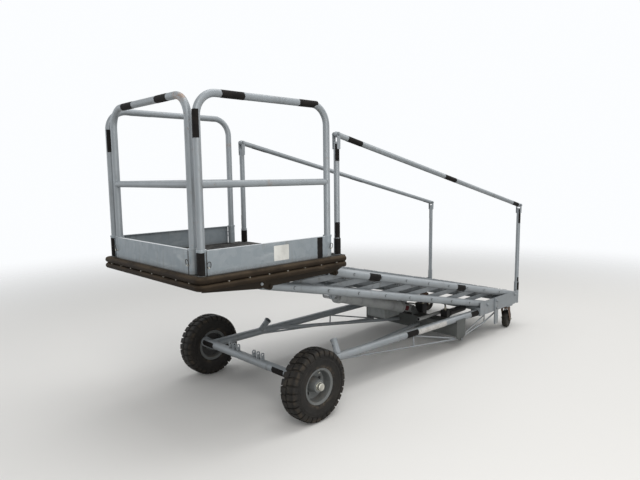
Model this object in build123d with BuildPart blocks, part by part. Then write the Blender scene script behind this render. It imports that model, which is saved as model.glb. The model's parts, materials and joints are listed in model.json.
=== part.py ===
from build123d import *
import os
from math import atan2, cos, hypot, radians, sin

# Aircraft maintenance platform: a hooped work platform carried by a parallelogram stair
# on a two-wheeled tubular base with two rear casters, lifted by one hydraulic cylinder.
# X points from the stair's foot to the platform, Y to its left, Z up from the ground.

os.makedirs("parts", exist_ok=True)

# Overall layout
axle_to_upper_foot = 2883.0
foot_spread = 554.0
foot_drop = 8.0
upper_foot_z = 335.0
posts_behind_foot = 62.0
running_gap = 0.05
loose_gap = 0.15

# Parallelogram stair
link_length = 2698.0
lowered_slope = 12.53
stair_half = 497.0
stair_tube_d = 60.3
stair_wall = 3.9
tube_end = 16.0
tread_count = 8
last_tread_gap = 234.8
tread_pin_d = 12.0
main_pin_d = 16.0
pin_head = 4.5

# Treads
arm_gap = 8.85
arm_thick = 8.0
arm_height = 40.0
tread_run = 330.0
tread_back = 20.0
tread_top = 22.0
tread_sheet = 4.0
tread_lip = 34.0

# Base frame
beam_ahead = 82.0
beam_z = 288.0
beam_past_stair = 23.0
beam_wall = 5.0
knuckle_thick = 12.0
spindle_d = 25.4
main_tube_inset = 83.0
main_tube_to_web = 32.0
main_tube_rise = 30.0
channel_past_foot = 129.0
channel_bottom = 238.0
channel_height = 130.0
channel_plate = 6.0
web_gap = 5.85
flange_past_arm = 10.0
cross_beam_back = 1890.0
cross_beam_depth = 140.0
cross_beam_height = 115.0
cross_beam_wall = 5.0
saddle_drop = 33.0
brace_d = 30.0
brace_wall = 3.0
rod_d = 14.0
stub_d = 48.3
stub_wall = 4.0
leg_ahead_posts = 455.0

# Main wheels
tyre_radius = 235.0
tyre_width = 130.0
bead_radius = 101.6
rim_radius = 118.0
rim_half_width = 54.0
hub_d = 100.0
hub_inner = 66.0
hub_collar = 4.0
hub_gap = 3.0
lug_height = 11.0
lug_count = 30

# Casters
caster_ahead_posts = 165.0
caster_to_web = 38.0
caster_radius = 89.0
caster_width = 50.0
caster_trail = 45.0
caster_yaw = 12.0
kingpin_d = 16.0

# Platform, measured from the upper platform pin
pin_to_deck = 110.0
deck_thick = 8.0
grip_sheet = 2.0
deck_rear = -89.0
deck_front = 1018.0
deck_half = 571.0
skirt_thick = 6.0
frame_depth = 80.0
front_post_inset = 26.0
rear_post_inset = 138.0
side_post_inset = 30.0
corner_post_inset = 111.0
hoop_d = 42.2
hoop_wall = 3.6
hoop_middle_d = 40.0
hoop_bend = 125.0
hoop_top = 964.0
hoop_mid = 486.0
socket_d = 50.8
socket_height = 143.0
toe_height = 138.0
toe_sheet = 3.0
toe_lip = 22.0
bumper_depth = 37.0
bumper_inset = 28.0
corner_radius = 15.0

# Handrails
rail_d = 38.1
rail_wall = 3.2
rail_past_stair = 26.0
front_rail_rise = 792.0
rail_ear = 4.0
rail_pin_d = 10.0
rear_shoulder = 31.0
front_shoulder = 48.0

# Lift cylinder
cylinder_behind_front = 50.0
cylinder_rise = 55.0
eye_along = 1600.0
eye_below = 76.0
barrel_d = 100.0
barrel_wall = 8.0
piston_rod_d = 50.0
crosshead_d = 48.3
cylinder_pin_d = 25.0

# Widths and distances that follow from the sizes above
tube_r = stair_tube_d / 2
tread_pitch = (link_length - last_tread_gap) / tread_count
arm_half = stair_half - tube_r - arm_gap - arm_thick / 2
web_inner_half = stair_half + tube_r + web_gap
flange_inner_half = arm_half - arm_thick / 2 - flange_past_arm
beam_half = stair_half + beam_past_stair
track_half = beam_half + knuckle_thick + hub_collar + hub_gap + hub_inner
spindle_z = tyre_radius
main_tube_front_half = beam_half - main_tube_inset
main_tube_rear_half = web_inner_half - main_tube_to_web
main_tube_rear_z = channel_bottom + main_tube_rise
cross_beam_top = main_tube_rear_z - saddle_drop
cross_beam_bottom = cross_beam_top - cross_beam_height
axle_to_posts = axle_to_upper_foot + posts_behind_foot
channel_front_back = axle_to_upper_foot - foot_spread - channel_past_foot
leg_back = axle_to_posts - leg_ahead_posts
caster_back = axle_to_posts - caster_ahead_posts
caster_half = web_inner_half - caster_to_web
hanger_half = arm_half + arm_thick / 2
front_post_ahead = deck_front - front_post_inset
rear_post_ahead = deck_rear + rear_post_inset
side_post_half = deck_half - side_post_inset
front_post_half = deck_half - corner_post_inset
bumper_rear = deck_rear + bumper_inset
rail_half = stair_half + rail_past_stair
cylinder_foot_back = cross_beam_back - cylinder_behind_front
cylinder_foot_z = cross_beam_top + cylinder_rise

# Places worked out from the sizes above
slope = radians(lowered_slope)
link_x = link_length * cos(slope)
link_z = link_length * sin(slope)
bumper_face = link_x - axle_to_upper_foot + deck_front + bumper_depth
sleeve_r = rail_d / 2 + 4.0
axle_x = (axle_to_posts + sleeve_r - bumper_face) / 2
upper_foot = (axle_x - axle_to_upper_foot, upper_foot_z)
lower_foot = (upper_foot[0] + foot_spread, upper_foot_z - foot_drop)
upper_head = (upper_foot[0] + link_x, upper_foot[1] + link_z)
lower_head = (lower_foot[0] + link_x, lower_foot[1] + link_z)
deck_z = upper_head[1] + pin_to_deck
deck_under = deck_z - deck_thick
beam_x = axle_x + beam_ahead
channel_front = axle_x - channel_front_back
posts_x = axle_x - axle_to_posts
front_rail_x = posts_x + link_x
front_rail_z = deck_z + front_rail_rise
posts_top = front_rail_z - link_z
web_half = web_inner_half + channel_plate / 2
channel_top = channel_bottom + channel_height
flange_top = channel_bottom + channel_plate
cylinder_foot = (axle_x - cylinder_foot_back, cylinder_foot_z)
eye = (
    lower_foot[0] + eye_along * cos(slope) + eye_below * sin(slope),
    lower_foot[1] + eye_along * sin(slope) - eye_below * cos(slope),
)
sides = (("left", 1), ("right", -1))


def side_plane(y):
    # Vertical plane at this Y: local x is the model's X, local y its Z.
    return Plane(origin=(0, y, 0), x_dir=(1, 0, 0), z_dir=(0, -1, 0))


def rod(start, end, outer, wall=0):
    # Round bar, or tube where a wall is given, from one point to another.
    start = Vector(*start)
    axis = Vector(*end) - start
    with BuildPart() as piece:
        with BuildSketch(Plane(origin=start, z_dir=axis.normalized())):
            Circle(outer / 2)
            if wall:
                Circle(outer / 2 - wall, mode=Mode.SUBTRACT)
        extrude(amount=axis.length)
    return piece.part


def cross_rod(x, z, y_from, y_to, outer, wall=0):
    # Round bar or tube along Y.
    return rod((x, min(y_from, y_to), z), (x, max(y_from, y_to), z), outer, wall)


def block(x_from, x_to, y_from, y_to, z_from, z_to):
    # Rectangular block between two corners.
    with BuildPart() as piece:
        with BuildSketch(Plane.XY.offset(min(z_from, z_to))):
            with Locations(((x_from + x_to) / 2, (y_from + y_to) / 2)):
                Rectangle(abs(x_to - x_from), abs(y_to - y_from))
        extrude(amount=abs(z_to - z_from))
    return piece.part


def finish(piece, name):
    piece.part.label = name
    export_step(piece.part, f"parts/{name}.step")


# Base: axle beam with two towing lugs of three plates each

lug_half = 140.0
lug_pin_d = 16.0
lug_rise = 62.0
lug_plate = 8.0
lug_plate_gap = 48.0
lug_foot_z = beam_z + tube_r - beam_wall + 2
spindle_past_hub = 62.0

with BuildPart() as axle_beam:
    add(cross_rod(beam_x, beam_z, -beam_half, beam_half, stair_tube_d, beam_wall))
    for _, sign in sides:
        for shift in (-lug_plate_gap, 0, lug_plate_gap):
            with BuildSketch(side_plane(sign * lug_half + shift)):
                with Locations((beam_x, beam_z + lug_rise)):
                    Circle(14)
                with Locations((beam_x, lug_foot_z + 2)):
                    Rectangle(28, 4)
                make_hull()
                with Locations((beam_x, beam_z + lug_rise)):
                    Circle(lug_pin_d / 2, mode=Mode.SUBTRACT)
            extrude(amount=lug_plate / 2, both=True)
finish(axle_beam, "axle_beam")

# Base: knuckle plates welded over the beam's ends, with the wheel spindles

for side, sign in sides:
    with BuildPart() as knuckle:
        knuckle_y = sign * (beam_half + knuckle_thick / 2)
        with BuildSketch(side_plane(knuckle_y)):
            with Locations((beam_x, beam_z)):
                Circle(38)
            with Locations((axle_x, spindle_z)):
                Circle(32)
            make_hull()
        extrude(amount=knuckle_thick / 2, both=True)
        spindle_root = sign * (beam_half + knuckle_thick)
        spindle_end = sign * (track_half + spindle_past_hub)
        add(cross_rod(axle_x, spindle_z, spindle_root, spindle_end, spindle_d))
        add(cross_rod(axle_x, spindle_z, spindle_root, spindle_root + sign * hub_collar, 44))
    finish(knuckle, f"axle_knuckle_{side}")

# Base: long tubes from the beam to the side channels, each with an open tow-bar socket

stub_back = 390.0
stub_length = 130.0
stub_lean = (-27.0, -73.0, 100.0)


def main_tube_point(x, sign):
    # Point on a long base tube's axis at this X.
    share = (beam_x - x) / (beam_x - channel_front)
    half = main_tube_front_half + share * (main_tube_rear_half - main_tube_front_half)
    return (x, sign * half, beam_z + share * (main_tube_rear_z - beam_z))


def main_tube_bar(sign, outer):
    # Solid bar along a long base tube's axis, for the tube and for what is cut to fit it.
    overrun = 60.0
    front = main_tube_point(beam_x, sign)
    rear = main_tube_point(channel_front - overrun, sign)
    return rod(front, rear, outer)


for side, sign in sides:
    stub_foot = Vector(*main_tube_point(axle_x - stub_back, sign))
    lean = Vector(stub_lean[0], sign * stub_lean[1], stub_lean[2]).normalized()
    stub_top = stub_foot + lean * stub_length
    with BuildPart() as main_tube:
        add(main_tube_bar(sign, stair_tube_d))
        add(rod(stub_foot, stub_top, stub_d))
        add(rod(stub_top - lean * 10, stub_top, stub_d + 7))
        add(rod(stub_foot, stub_top, stub_d - 2 * stub_wall), mode=Mode.SUBTRACT)
        add(main_tube_bar(sign, stair_tube_d - 2 * stair_wall), mode=Mode.SUBTRACT)
        add(cross_rod(beam_x, beam_z, -beam_half, beam_half, stair_tube_d), mode=Mode.SUBTRACT)
        split(bisect_by=Plane.YZ.offset(channel_front), keep=Keep.TOP)
        pin_at = stub_top - lean * 45
        across = Vector(1, 0, 0) * 40
        add(rod(pin_at - across, pin_at + across, 13), mode=Mode.SUBTRACT)
    finish(main_tube, f"main_tube_{side}")

# Base: side channels that hold the stair's lower pins, the casters and the rail posts

sleeve_top = 455.0
ear_inner = arm_half - arm_thick / 2
front_plate_top = 315.0
caster_plate = 8.0
caster_x = axle_x - caster_back
kingpin_drop = 44.0

for side, sign in sides:
    with BuildPart() as side_channel:
        with BuildSketch(side_plane(sign * web_half)):
            with BuildLine():
                web_rear = posts_x + rail_d / 2
                Polyline(
                    (web_rear, channel_bottom + 46),
                    (web_rear, channel_top),
                    (channel_front, channel_top),
                    (channel_front, channel_bottom),
                    (web_rear + 46, channel_bottom),
                )
                RadiusArc(
                    (web_rear + 46, channel_bottom),
                    (web_rear, channel_bottom + 46),
                    46,
                )
            make_face()
        extrude(amount=channel_plate / 2, both=True)
        add(block(
            channel_front, posts_x - 8, sign * flange_inner_half, sign * web_inner_half,
            channel_bottom, flange_top,
        ))
        add(block(
            channel_front, channel_front - channel_plate,
            sign * flange_inner_half, sign * web_inner_half, flange_top, front_plate_top,
        ))
        add(rod((posts_x, sign * rail_half, channel_bottom), (posts_x, sign * rail_half, sleeve_top),
                2 * sleeve_r))
        add(rod((posts_x, sign * rail_half, flange_top), (posts_x, sign * rail_half, sleeve_top + 1),
                rail_d + 2 * loose_gap), mode=Mode.SUBTRACT)
        for foot in (upper_foot, lower_foot):
            with BuildSketch(side_plane(sign * arm_half)):
                with Locations(foot):
                    Circle(27)
                with Locations((foot[0], flange_top + 2)):
                    Rectangle(72, 4)
                make_hull()
            extrude(amount=arm_thick / 2, both=True)
            add(cross_rod(foot[0], foot[1], sign * ear_inner, sign * (web_inner_half + 6), main_pin_d))
            add(cross_rod(foot[0], foot[1], sign * (web_half + 3), sign * (web_half + 12), 30))
        add(block(caster_x - 55, caster_x + 55, sign * (caster_half - 50), sign * (caster_half + 50),
                  channel_bottom - caster_plate, channel_bottom))
        kingpin_root = channel_bottom - caster_plate
        add(rod((caster_x, sign * caster_half, kingpin_root - kingpin_drop),
                (caster_x, sign * caster_half, kingpin_root), kingpin_d))
        add(rod((caster_x, sign * caster_half, kingpin_root - kingpin_drop),
                (caster_x, sign * caster_half, kingpin_root - kingpin_drop + 9), 26))
    finish(side_channel, f"side_channel_{side}")

# Base: cross-beam under the long tubes with saddles, end plates and the cylinder's ears

cross_front = axle_x - cross_beam_back + cross_beam_depth / 2
cross_rear = cross_front - cross_beam_depth
cross_x = axle_x - cross_beam_back
end_plate_thick = 8.0
cylinder_ear_half = 38.0
cylinder_ear_thick = 10.0
truss_node_z = 88.0
end_plate_bottom = truss_node_z - 10

with BuildPart() as cross_beam:
    add(block(cross_rear, cross_front, -beam_half, beam_half, cross_beam_bottom, cross_beam_top))
    add(block(cross_rear + cross_beam_wall, cross_front - cross_beam_wall, -beam_half, beam_half,
              cross_beam_bottom + cross_beam_wall, cross_beam_top - cross_beam_wall),
        mode=Mode.SUBTRACT)
    for _, sign in sides:
        with BuildSketch(side_plane(sign * (beam_half + end_plate_thick / 2))):
            with BuildLine():
                Polyline(
                    (cross_rear, cross_beam_top + 32),
                    (cross_front, cross_beam_top + 32),
                    (cross_front, cross_beam_bottom - 5),
                    (cross_x + 22, end_plate_bottom),
                    (cross_x - 22, end_plate_bottom),
                    (cross_rear, cross_beam_bottom - 5),
                    close=True,
                )
            make_face()
            fillet(vertices().group_by(Axis.Y)[0], 12)
        extrude(amount=end_plate_thick / 2, both=True)
        add(block(cross_rear + 10, cross_front - 10, sign * 464, sign * beam_half,
                  cross_beam_top, main_tube_rear_z))
        add(cross_rod(cross_x, truss_node_z, sign * (beam_half + end_plate_thick),
                      sign * (beam_half + end_plate_thick + 9), 22))
    for sign in (1, -1):
        add(main_tube_bar(sign, stair_tube_d), mode=Mode.SUBTRACT)
        with BuildSketch(side_plane(sign * (cylinder_ear_half + cylinder_ear_thick / 2))):
            with Locations(cylinder_foot):
                Circle(30)
            with Locations((cross_front - 46, cross_beam_top + 2)):
                Rectangle(92, 4)
            make_hull()
        extrude(amount=cylinder_ear_thick / 2, both=True)
    add(cross_rod(*cylinder_foot, -cylinder_ear_half - 22, cylinder_ear_half + 22, cylinder_pin_d))
finish(cross_beam, "cross_beam")

# Base: slanting braces from the long tubes to the cross-beam

brace_back = 500.0
brace_rear_half = 118.0
brace_rear_z = 169.0

for side, sign in sides:
    with BuildPart() as brace:
        start = main_tube_point(axle_x - brace_back, sign)
        end = (cross_front, sign * brace_rear_half, brace_rear_z)
        past = Vector(*end) + (Vector(*end) - Vector(*start)).normalized() * 60
        add(rod(start, past, brace_d))
        add(rod(start, past, brace_d - 2 * brace_wall), mode=Mode.SUBTRACT)
        add(main_tube_bar(sign, stair_tube_d), mode=Mode.SUBTRACT)
        split(bisect_by=Plane.YZ.offset(cross_front), keep=Keep.TOP)
    finish(brace, f"brace_{side}")

# Base: truss of thin rods under each long tube, gathered at the cross-beam's end plate

truss_front_back = 400.0
front_strut_back = cross_beam_back - 648
rear_strut_back = cross_beam_back + 440
truss_rear_back = cross_beam_back + 770
node_inset = 12.0
rear_strut_z = 150.0
truss_half = beam_half - node_inset

for side, sign in sides:
    node = Vector(cross_x, sign * truss_half, truss_node_z)
    chord_start = Vector(*main_tube_point(axle_x - truss_front_back, sign)) - Vector(0, 0, 22)
    share = (chord_start.X - (axle_x - front_strut_back)) / (chord_start.X - node.X)
    strut_foot = chord_start + (node - chord_start) * share
    strut_head = Vector(*main_tube_point(axle_x - front_strut_back, sign))
    rear_foot = Vector(axle_x - rear_strut_back, sign * truss_half, rear_strut_z)
    rear_head = Vector(axle_x - rear_strut_back, sign * truss_half, channel_bottom + 12)
    rear_end = Vector(axle_x - truss_rear_back, sign * truss_half, channel_bottom + 8)
    diagonal_head = strut_head - Vector(0, 0, tube_r - 4)
    rear_diagonal_head = rear_head - Vector(0, 0, 30)
    with BuildPart() as truss:
        add(cross_rod(node.X, node.Z, sign * (truss_half - 12), sign * beam_half, 26))
        for start, end, outer in (
            (chord_start, node, rod_d),
            (strut_foot, strut_head, rod_d - 2),
            (diagonal_head, node, rod_d - 2),
            (node, rear_foot, rod_d),
            (rear_foot, rear_end, rod_d),
            (rear_foot, rear_head, rod_d - 2),
            (node, rear_diagonal_head, rod_d - 2),
        ):
            add(rod(start, end, outer))
        with Locations(tuple(rear_foot)):
            Sphere(rod_d / 2)
        add(main_tube_bar(sign, stair_tube_d), mode=Mode.SUBTRACT)
        add(block(channel_front + 5, posts_x, sign * flange_inner_half, sign * web_inner_half,
                  channel_bottom, channel_top), mode=Mode.SUBTRACT)
    finish(truss, f"truss_{side}")

# Base: tie tube, oil tank, hand pump, valve block and their hoses

tie_z = 275.0
tie_d = 48.3
tank_length = 240.0
tank_half_width = 105.0
tank_y = -205.0
tank_bottom = 212.0
tank_top = 340.0
pump_y = 300.0
pump_z = 262.0
pump_d = 60.0
handle_y = 222.0
handle_z = 256.0
handle_d = 27.0
handle_length = 440.0
valve_y = 20.0

with BuildPart() as tie_tube:
    add(cross_rod(lower_foot[0], tie_z, -ear_inner, ear_inner, tie_d, 4.0))
finish(tie_tube, "tie_tube")

with BuildPart() as oil_tank:
    add(block(cross_front, cross_front + tank_length, tank_y - tank_half_width, tank_y + tank_half_width,
              tank_bottom, tank_top))
    fillet(oil_tank.edges().filter_by(Axis.Y), 22)
    fillet(oil_tank.edges().filter_by(Axis.Z), 8)
    cap_x = cross_front + tank_length / 2
    add(rod((cap_x, tank_y, tank_top), (cap_x, tank_y, tank_top + 26), 52))
finish(oil_tank, "oil_tank")

with BuildPart() as hand_pump:
    pump_front = cross_rear
    pump_rear = lower_foot[0] + tie_d / 2 + 2.85
    add(block(pump_front, pump_front - 48, pump_y - 34, pump_y + 34, cross_beam_top - 55, pump_z + 36))
    add(rod((pump_front - 48, pump_y, pump_z), (pump_rear, pump_y, pump_z), pump_d))
    add(rod((pump_front - 70, pump_y, pump_z), (pump_front - 92, pump_y, pump_z), pump_d + 12))
    handle_rear = pump_front - 150
    add(block(handle_rear - 20, handle_rear + 26, handle_y - 17, pump_y - 20, handle_z - 17, handle_z + 17))
    add(rod((handle_rear, handle_y, handle_z), (handle_rear + handle_length, handle_y, handle_z), handle_d))
    add(rod((handle_rear + 60, handle_y, handle_z), (handle_rear + handle_length + 1, handle_y, handle_z),
            handle_d - 7), mode=Mode.SUBTRACT)
finish(hand_pump, "hand_pump")

with BuildPart() as valve_block:
    add(block(cross_rear, cross_rear - 70, valve_y - 45, valve_y + 45, cross_beam_top - 60, 318))
    fillet(valve_block.edges().filter_by(Axis.Z), 6)
    gauge_x = cross_rear - 35
    add(rod((gauge_x, valve_y, 318), (gauge_x, valve_y, 332), 16))
    add(cross_rod(gauge_x, 352, valve_y - 16, valve_y + 16, 46))
finish(valve_block, "valve_block")

hose_d = 14.0
pump_port_x = cross_rear - 24
valve_port_x = cross_rear - 35
hose_routes = (
    # name, bend radius, points from port to port
    ("pump_hose", 50.0, (
        (pump_port_x, pump_y, pump_z + 36),
        (pump_port_x, pump_y, 378),
        (pump_port_x, valve_y + 32, 378),
        (pump_port_x, valve_y + 32, 318),
    )),
    ("tank_hose", 70.0, (
        (cross_front, tank_y + 70, 296),
        (valve_port_x, tank_y + 70, 296),
        (valve_port_x, valve_y - 45, 296),
    )),
)

for name, bend, points in hose_routes:
    with BuildPart() as hose:
        with BuildLine() as route:
            FilletPolyline(*points, radius=bend)
        with BuildSketch(Plane(origin=points[0], z_dir=Vector(*points[1]) - Vector(*points[0]))):
            Circle(hose_d / 2)
        sweep(path=route.wire())
    finish(hose, name)

# Base: fixed bottom step, parking legs and rear rail posts


def tread_pan(pin, y_half):
    # Folded sheet tread with turned-down lips, placed from its rear pin.
    top = pin[1] + tread_top
    rear = pin[0] - tread_back
    nose = pin[0] - tread_back + tread_run
    with BuildPart() as pan:
        with BuildSketch(side_plane(0)):
            with BuildLine():
                Polyline(
                    (rear, top - tread_lip), (rear, top), (nose, top), (nose, top - tread_lip),
                    (nose - tread_sheet, top - tread_lip), (nose - tread_sheet, top - tread_sheet),
                    (rear + tread_sheet, top - tread_sheet), (rear + tread_sheet, top - tread_lip),
                    close=True,
                )
            make_face()
        extrude(amount=y_half, both=True)
        for y in (-y_half / 3, y_half / 3):
            add(block(rear + tread_sheet, nose - tread_sheet, y - 2, y + 2,
                      top - tread_lip + 4, top - tread_sheet))
    return pan.part


with BuildPart() as bottom_step:
    add(tread_pan(upper_foot, ear_inner))
    for _, sign in sides:
        add(block(upper_foot[0] - tread_back, upper_foot[0] - tread_back + tread_run,
                  sign * (ear_inner - 4), sign * ear_inner,
                  upper_foot_z + tread_top - tread_lip, upper_foot_z + tread_top - tread_sheet))
finish(bottom_step, "bottom_step")

leg_width = 60.0
leg_thick = 12.0
leg_bottom = 110.0
leg_top = channel_top + 2

for side, sign in sides:
    with BuildPart() as parking_leg:
        leg_x = axle_x - leg_back
        leg_y = sign * (web_inner_half + channel_plate + leg_thick / 2)
        with BuildSketch(side_plane(leg_y)):
            with Locations((leg_x, (leg_bottom + leg_top) / 2)):
                RectangleRounded(leg_width, leg_top - leg_bottom, 8)
        extrude(amount=leg_thick / 2, both=True)
        for z in (channel_bottom + 30, channel_top - 30):
            add(cross_rod(leg_x, z, leg_y + sign * leg_thick / 2, leg_y + sign * (leg_thick / 2 + 8), 22))
    finish(parking_leg, f"parking_leg_{side}")


def rail_post(x, sign, foot_z, pin_z, shoulder):
    # Upright tube with two ears and the pin that the handrail turns on. The tube ends in a
    # plug this far below the pin.
    ear_gap = rail_d / 2 + 0.6
    top = pin_z - shoulder
    with BuildPart() as post:
        add(rod((x, sign * rail_half, foot_z), (x, sign * rail_half, top), rail_d, rail_wall))
        add(rod((x, sign * rail_half, top - rail_wall), (x, sign * rail_half, top), rail_d))
        for offset in (-ear_gap - rail_ear / 2, ear_gap + rail_ear / 2):
            with BuildSketch(side_plane(sign * rail_half + offset)):
                with Locations((x, pin_z)):
                    Circle(15)
                with Locations((x, top - 33)):
                    Rectangle(rail_d * 0.7, 30)
                make_hull()
            extrude(amount=rail_ear / 2, both=True)
        for offset in (-ear_gap + 0.8, ear_gap - 0.8):
            add(block(x - 9, x + 9, sign * rail_half + offset - 2, sign * rail_half + offset + 2,
                      top - 47, top - 13))
        add(cross_rod(x, pin_z, sign * rail_half - ear_gap - rail_ear - 4,
                      sign * rail_half + ear_gap + rail_ear + 4, rail_pin_d))
    return post.part


for side, sign in sides:
    with BuildPart() as rear_post:
        add(rail_post(posts_x, sign, flange_top, posts_top, rear_shoulder))
    finish(rear_post, f"rear_post_{side}")

# Main wheels: lugged pneumatic tyres on dished steel rims

half_width = tyre_width / 2
carcass_radius = tyre_radius - lug_height
shoulder_radius = carcass_radius - 18
lug_root = shoulder_radius - 2
cavity_radius = lug_root - 6
rim_flange = 5.0
seat_gap = 0.3
bead_half = rim_half_width - rim_flange - seat_gap
seat = bead_radius + seat_gap
bead_top = rim_radius + seat_gap

tyre_side = (
    # half width, radius, from the bead's toe to the crown
    (bead_half - 14, seat),
    (bead_half, seat),
    (bead_half, bead_top),
    (rim_half_width + 1, bead_top),
    (half_width, 162),
    (half_width - 3, shoulder_radius),
    (half_width - 19, carcass_radius),
)
tyre_cavity = (
    # half width, radius, from the crown to the bead
    (half_width - 24, cavity_radius),
    (half_width - 14, 162),
)
lug_ring = (
    # share of a pitch, radius, round one lug and the groove after it
    (0.0, tyre_radius),
    (0.7, tyre_radius),
    (0.77, carcass_radius),
    (0.93, carcass_radius),
)

with BuildPart() as tyre_form:
    with BuildSketch(Plane.YZ):
        with BuildLine():
            far_side = [(-y, z) for y, z in reversed(tyre_side)]
            far_cavity = [(-y, z) for y, z in reversed(tyre_cavity)]
            Polyline(*tyre_side, *far_side, *far_cavity, *tyre_cavity, close=True)
        make_face()
    revolve(axis=Axis.Y)
    for row, turn in ((1, 0.0), (-1, 0.5)):
        with BuildSketch(side_plane(row * 31.5)):
            with BuildLine():
                corners = []
                for index in range(lug_count):
                    for share, radius in lug_ring:
                        angle = radians(360.0 / lug_count * (index + turn + share) - 90)
                        corners.append((radius * cos(angle), radius * sin(angle)))
                Polyline(*corners, close=True)
            make_face()
            Circle(lug_root, mode=Mode.SUBTRACT)
        extrude(amount=30, both=True)

for side, sign in sides:
    with BuildPart() as tyre:
        add(tyre_form.part.moved(Location((axle_x, sign * track_half, spindle_z))))
    finish(tyre, f"tyre_{side}")

rim_wall = 4.0
hub_reach = 52.0
cap_r = 25.0
cap_face = 70.0
hub_inner_r = hub_d / 2 - 13

for side, sign in sides:
    with BuildPart() as rim:
        with BuildSketch(Plane(origin=(axle_x, sign * track_half, spindle_z), x_dir=(0, sign, 0),
                               z_dir=(sign, 0, 0))):
            with BuildLine():
                barrel = bead_radius - rim_wall
                bore = spindle_d / 2 + running_gap
                Polyline(
                    (-rim_half_width, rim_radius), (-rim_half_width + rim_flange, rim_radius),
                    (-rim_half_width + rim_flange, bead_radius),
                    (rim_half_width - rim_flange, bead_radius),
                    (rim_half_width - rim_flange, rim_radius), (rim_half_width, rim_radius),
                    (rim_half_width, barrel), (22, barrel),
                    (10, barrel - 22), (10, hub_d / 2), (hub_reach, hub_d / 2 - 10),
                    (hub_reach, cap_r), (cap_face - 4, cap_r), (cap_face, cap_r - 4),
                    (cap_face, 0), (cap_face - 6, 0), (cap_face - 6, bore),
                    (-hub_inner, bore), (-hub_inner, hub_inner_r),
                    (4, hub_inner_r + 6), (4, barrel - 26), (14, barrel),
                    (-rim_half_width, barrel), close=True,
                )
            make_face()
        revolve(axis=Axis((axle_x, 0, spindle_z), (0, 1, 0)))
        for index in range(5):
            angle = radians(72 * index + 90)
            hole_x = axle_x + 62 * cos(angle)
            hole_z = spindle_z + 62 * sin(angle)
            add(cross_rod(hole_x, hole_z, sign * (track_half + 2), sign * (track_half + 30), 20),
                mode=Mode.SUBTRACT)
    finish(rim, f"rim_{side}")

# Casters: swivel fork and solid-tyred wheel on each side channel

fork_top = channel_bottom - caster_plate - 0.3
axle_d = 12.0

for side, sign in sides:
    swivel = Location((caster_x, sign * caster_half, 0), (0, 0, sign * caster_yaw))
    with BuildPart() as fork_form:
        with BuildSketch(Plane.XY.offset(fork_top - 16)):
            Circle(36)
            Circle(14, mode=Mode.SUBTRACT)
        extrude(amount=16)
        with BuildSketch(Plane.XY.offset(fork_top - 24)):
            Rectangle(72, 74)
            Circle(kingpin_d / 2 + running_gap, mode=Mode.SUBTRACT)
        extrude(amount=8)
        for y in (-34.5, 34.5):
            with BuildSketch(side_plane(y)):
                with Locations((0, fork_top - 20)):
                    Rectangle(72, 8)
                with Locations((-caster_trail, caster_radius)):
                    Circle(16)
                make_hull()
            extrude(amount=2.5, both=True)
        add(cross_rod(-caster_trail, caster_radius, -44, 44, axle_d))
    with BuildPart() as caster_fork:
        add(fork_form.part.moved(swivel))
    finish(caster_fork, f"caster_fork_{side}")

    with BuildPart() as wheel_form:
        with BuildSketch(Plane(origin=(-caster_trail, 0, caster_radius), x_dir=(0, 1, 0),
                               z_dir=(1, 0, 0))):
            with BuildLine():
                half = caster_width / 2
                Polyline(
                    (half + 4, axle_d / 2 + running_gap), (half + 4, 20), (half - 6, 24),
                    (half - 6, 54), (half, 58), (half, caster_radius - 8),
                )
                ThreePointArc((half, caster_radius - 8), (0, caster_radius), (-half, caster_radius - 8))
                Polyline(
                    (-half, caster_radius - 8), (-half, 58), (-half + 6, 54), (-half + 6, 24),
                    (-half - 4, 20), (-half - 4, axle_d / 2 + running_gap),
                    (half + 4, axle_d / 2 + running_gap),
                )
            make_face()
        revolve(axis=Axis((-caster_trail, 0, caster_radius), (0, 1, 0)))
    with BuildPart() as caster_wheel:
        add(wheel_form.part.moved(swivel))
    finish(caster_wheel, f"caster_wheel_{side}")

# Stair: upper and lower tubes, drilled for the tread pins and the end pins


def along_link(foot, distance, below=0.0):
    # Point at this distance up a stair tube from its foot pin, and below its axis.
    return (
        foot[0] + distance * cos(slope) + below * sin(slope),
        foot[1] + distance * sin(slope) - below * cos(slope),
    )


def stair_tube(foot, sign):
    start = along_link(foot, -tube_end)
    end = along_link(foot, link_length + tube_end)
    with BuildPart() as piece:
        add(rod((start[0], sign * stair_half, start[1]), (end[0], sign * stair_half, end[1]),
                stair_tube_d, stair_wall))
        for index in range(tread_count + 2):
            at_end = index == 0 or index == tread_count + 1
            distance = link_length if index == tread_count + 1 else index * tread_pitch
            point = along_link(foot, distance)
            hole = (main_pin_d if at_end else tread_pin_d) + 2 * running_gap
            add(cross_rod(*point, sign * (stair_half - tube_r - 5), sign * (stair_half + tube_r + 5),
                          hole), mode=Mode.SUBTRACT)
    return piece.part


for level, foot in (("upper", upper_foot), ("lower", lower_foot)):
    for side, sign in sides:
        with BuildPart() as stair:
            add(stair_tube(foot, sign))
        finish(stair, f"stair_tube_{level}_{side}")

crosshead_below = 6.0
lug_gap_half = 30.0
lug_thick = 12.0

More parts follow.
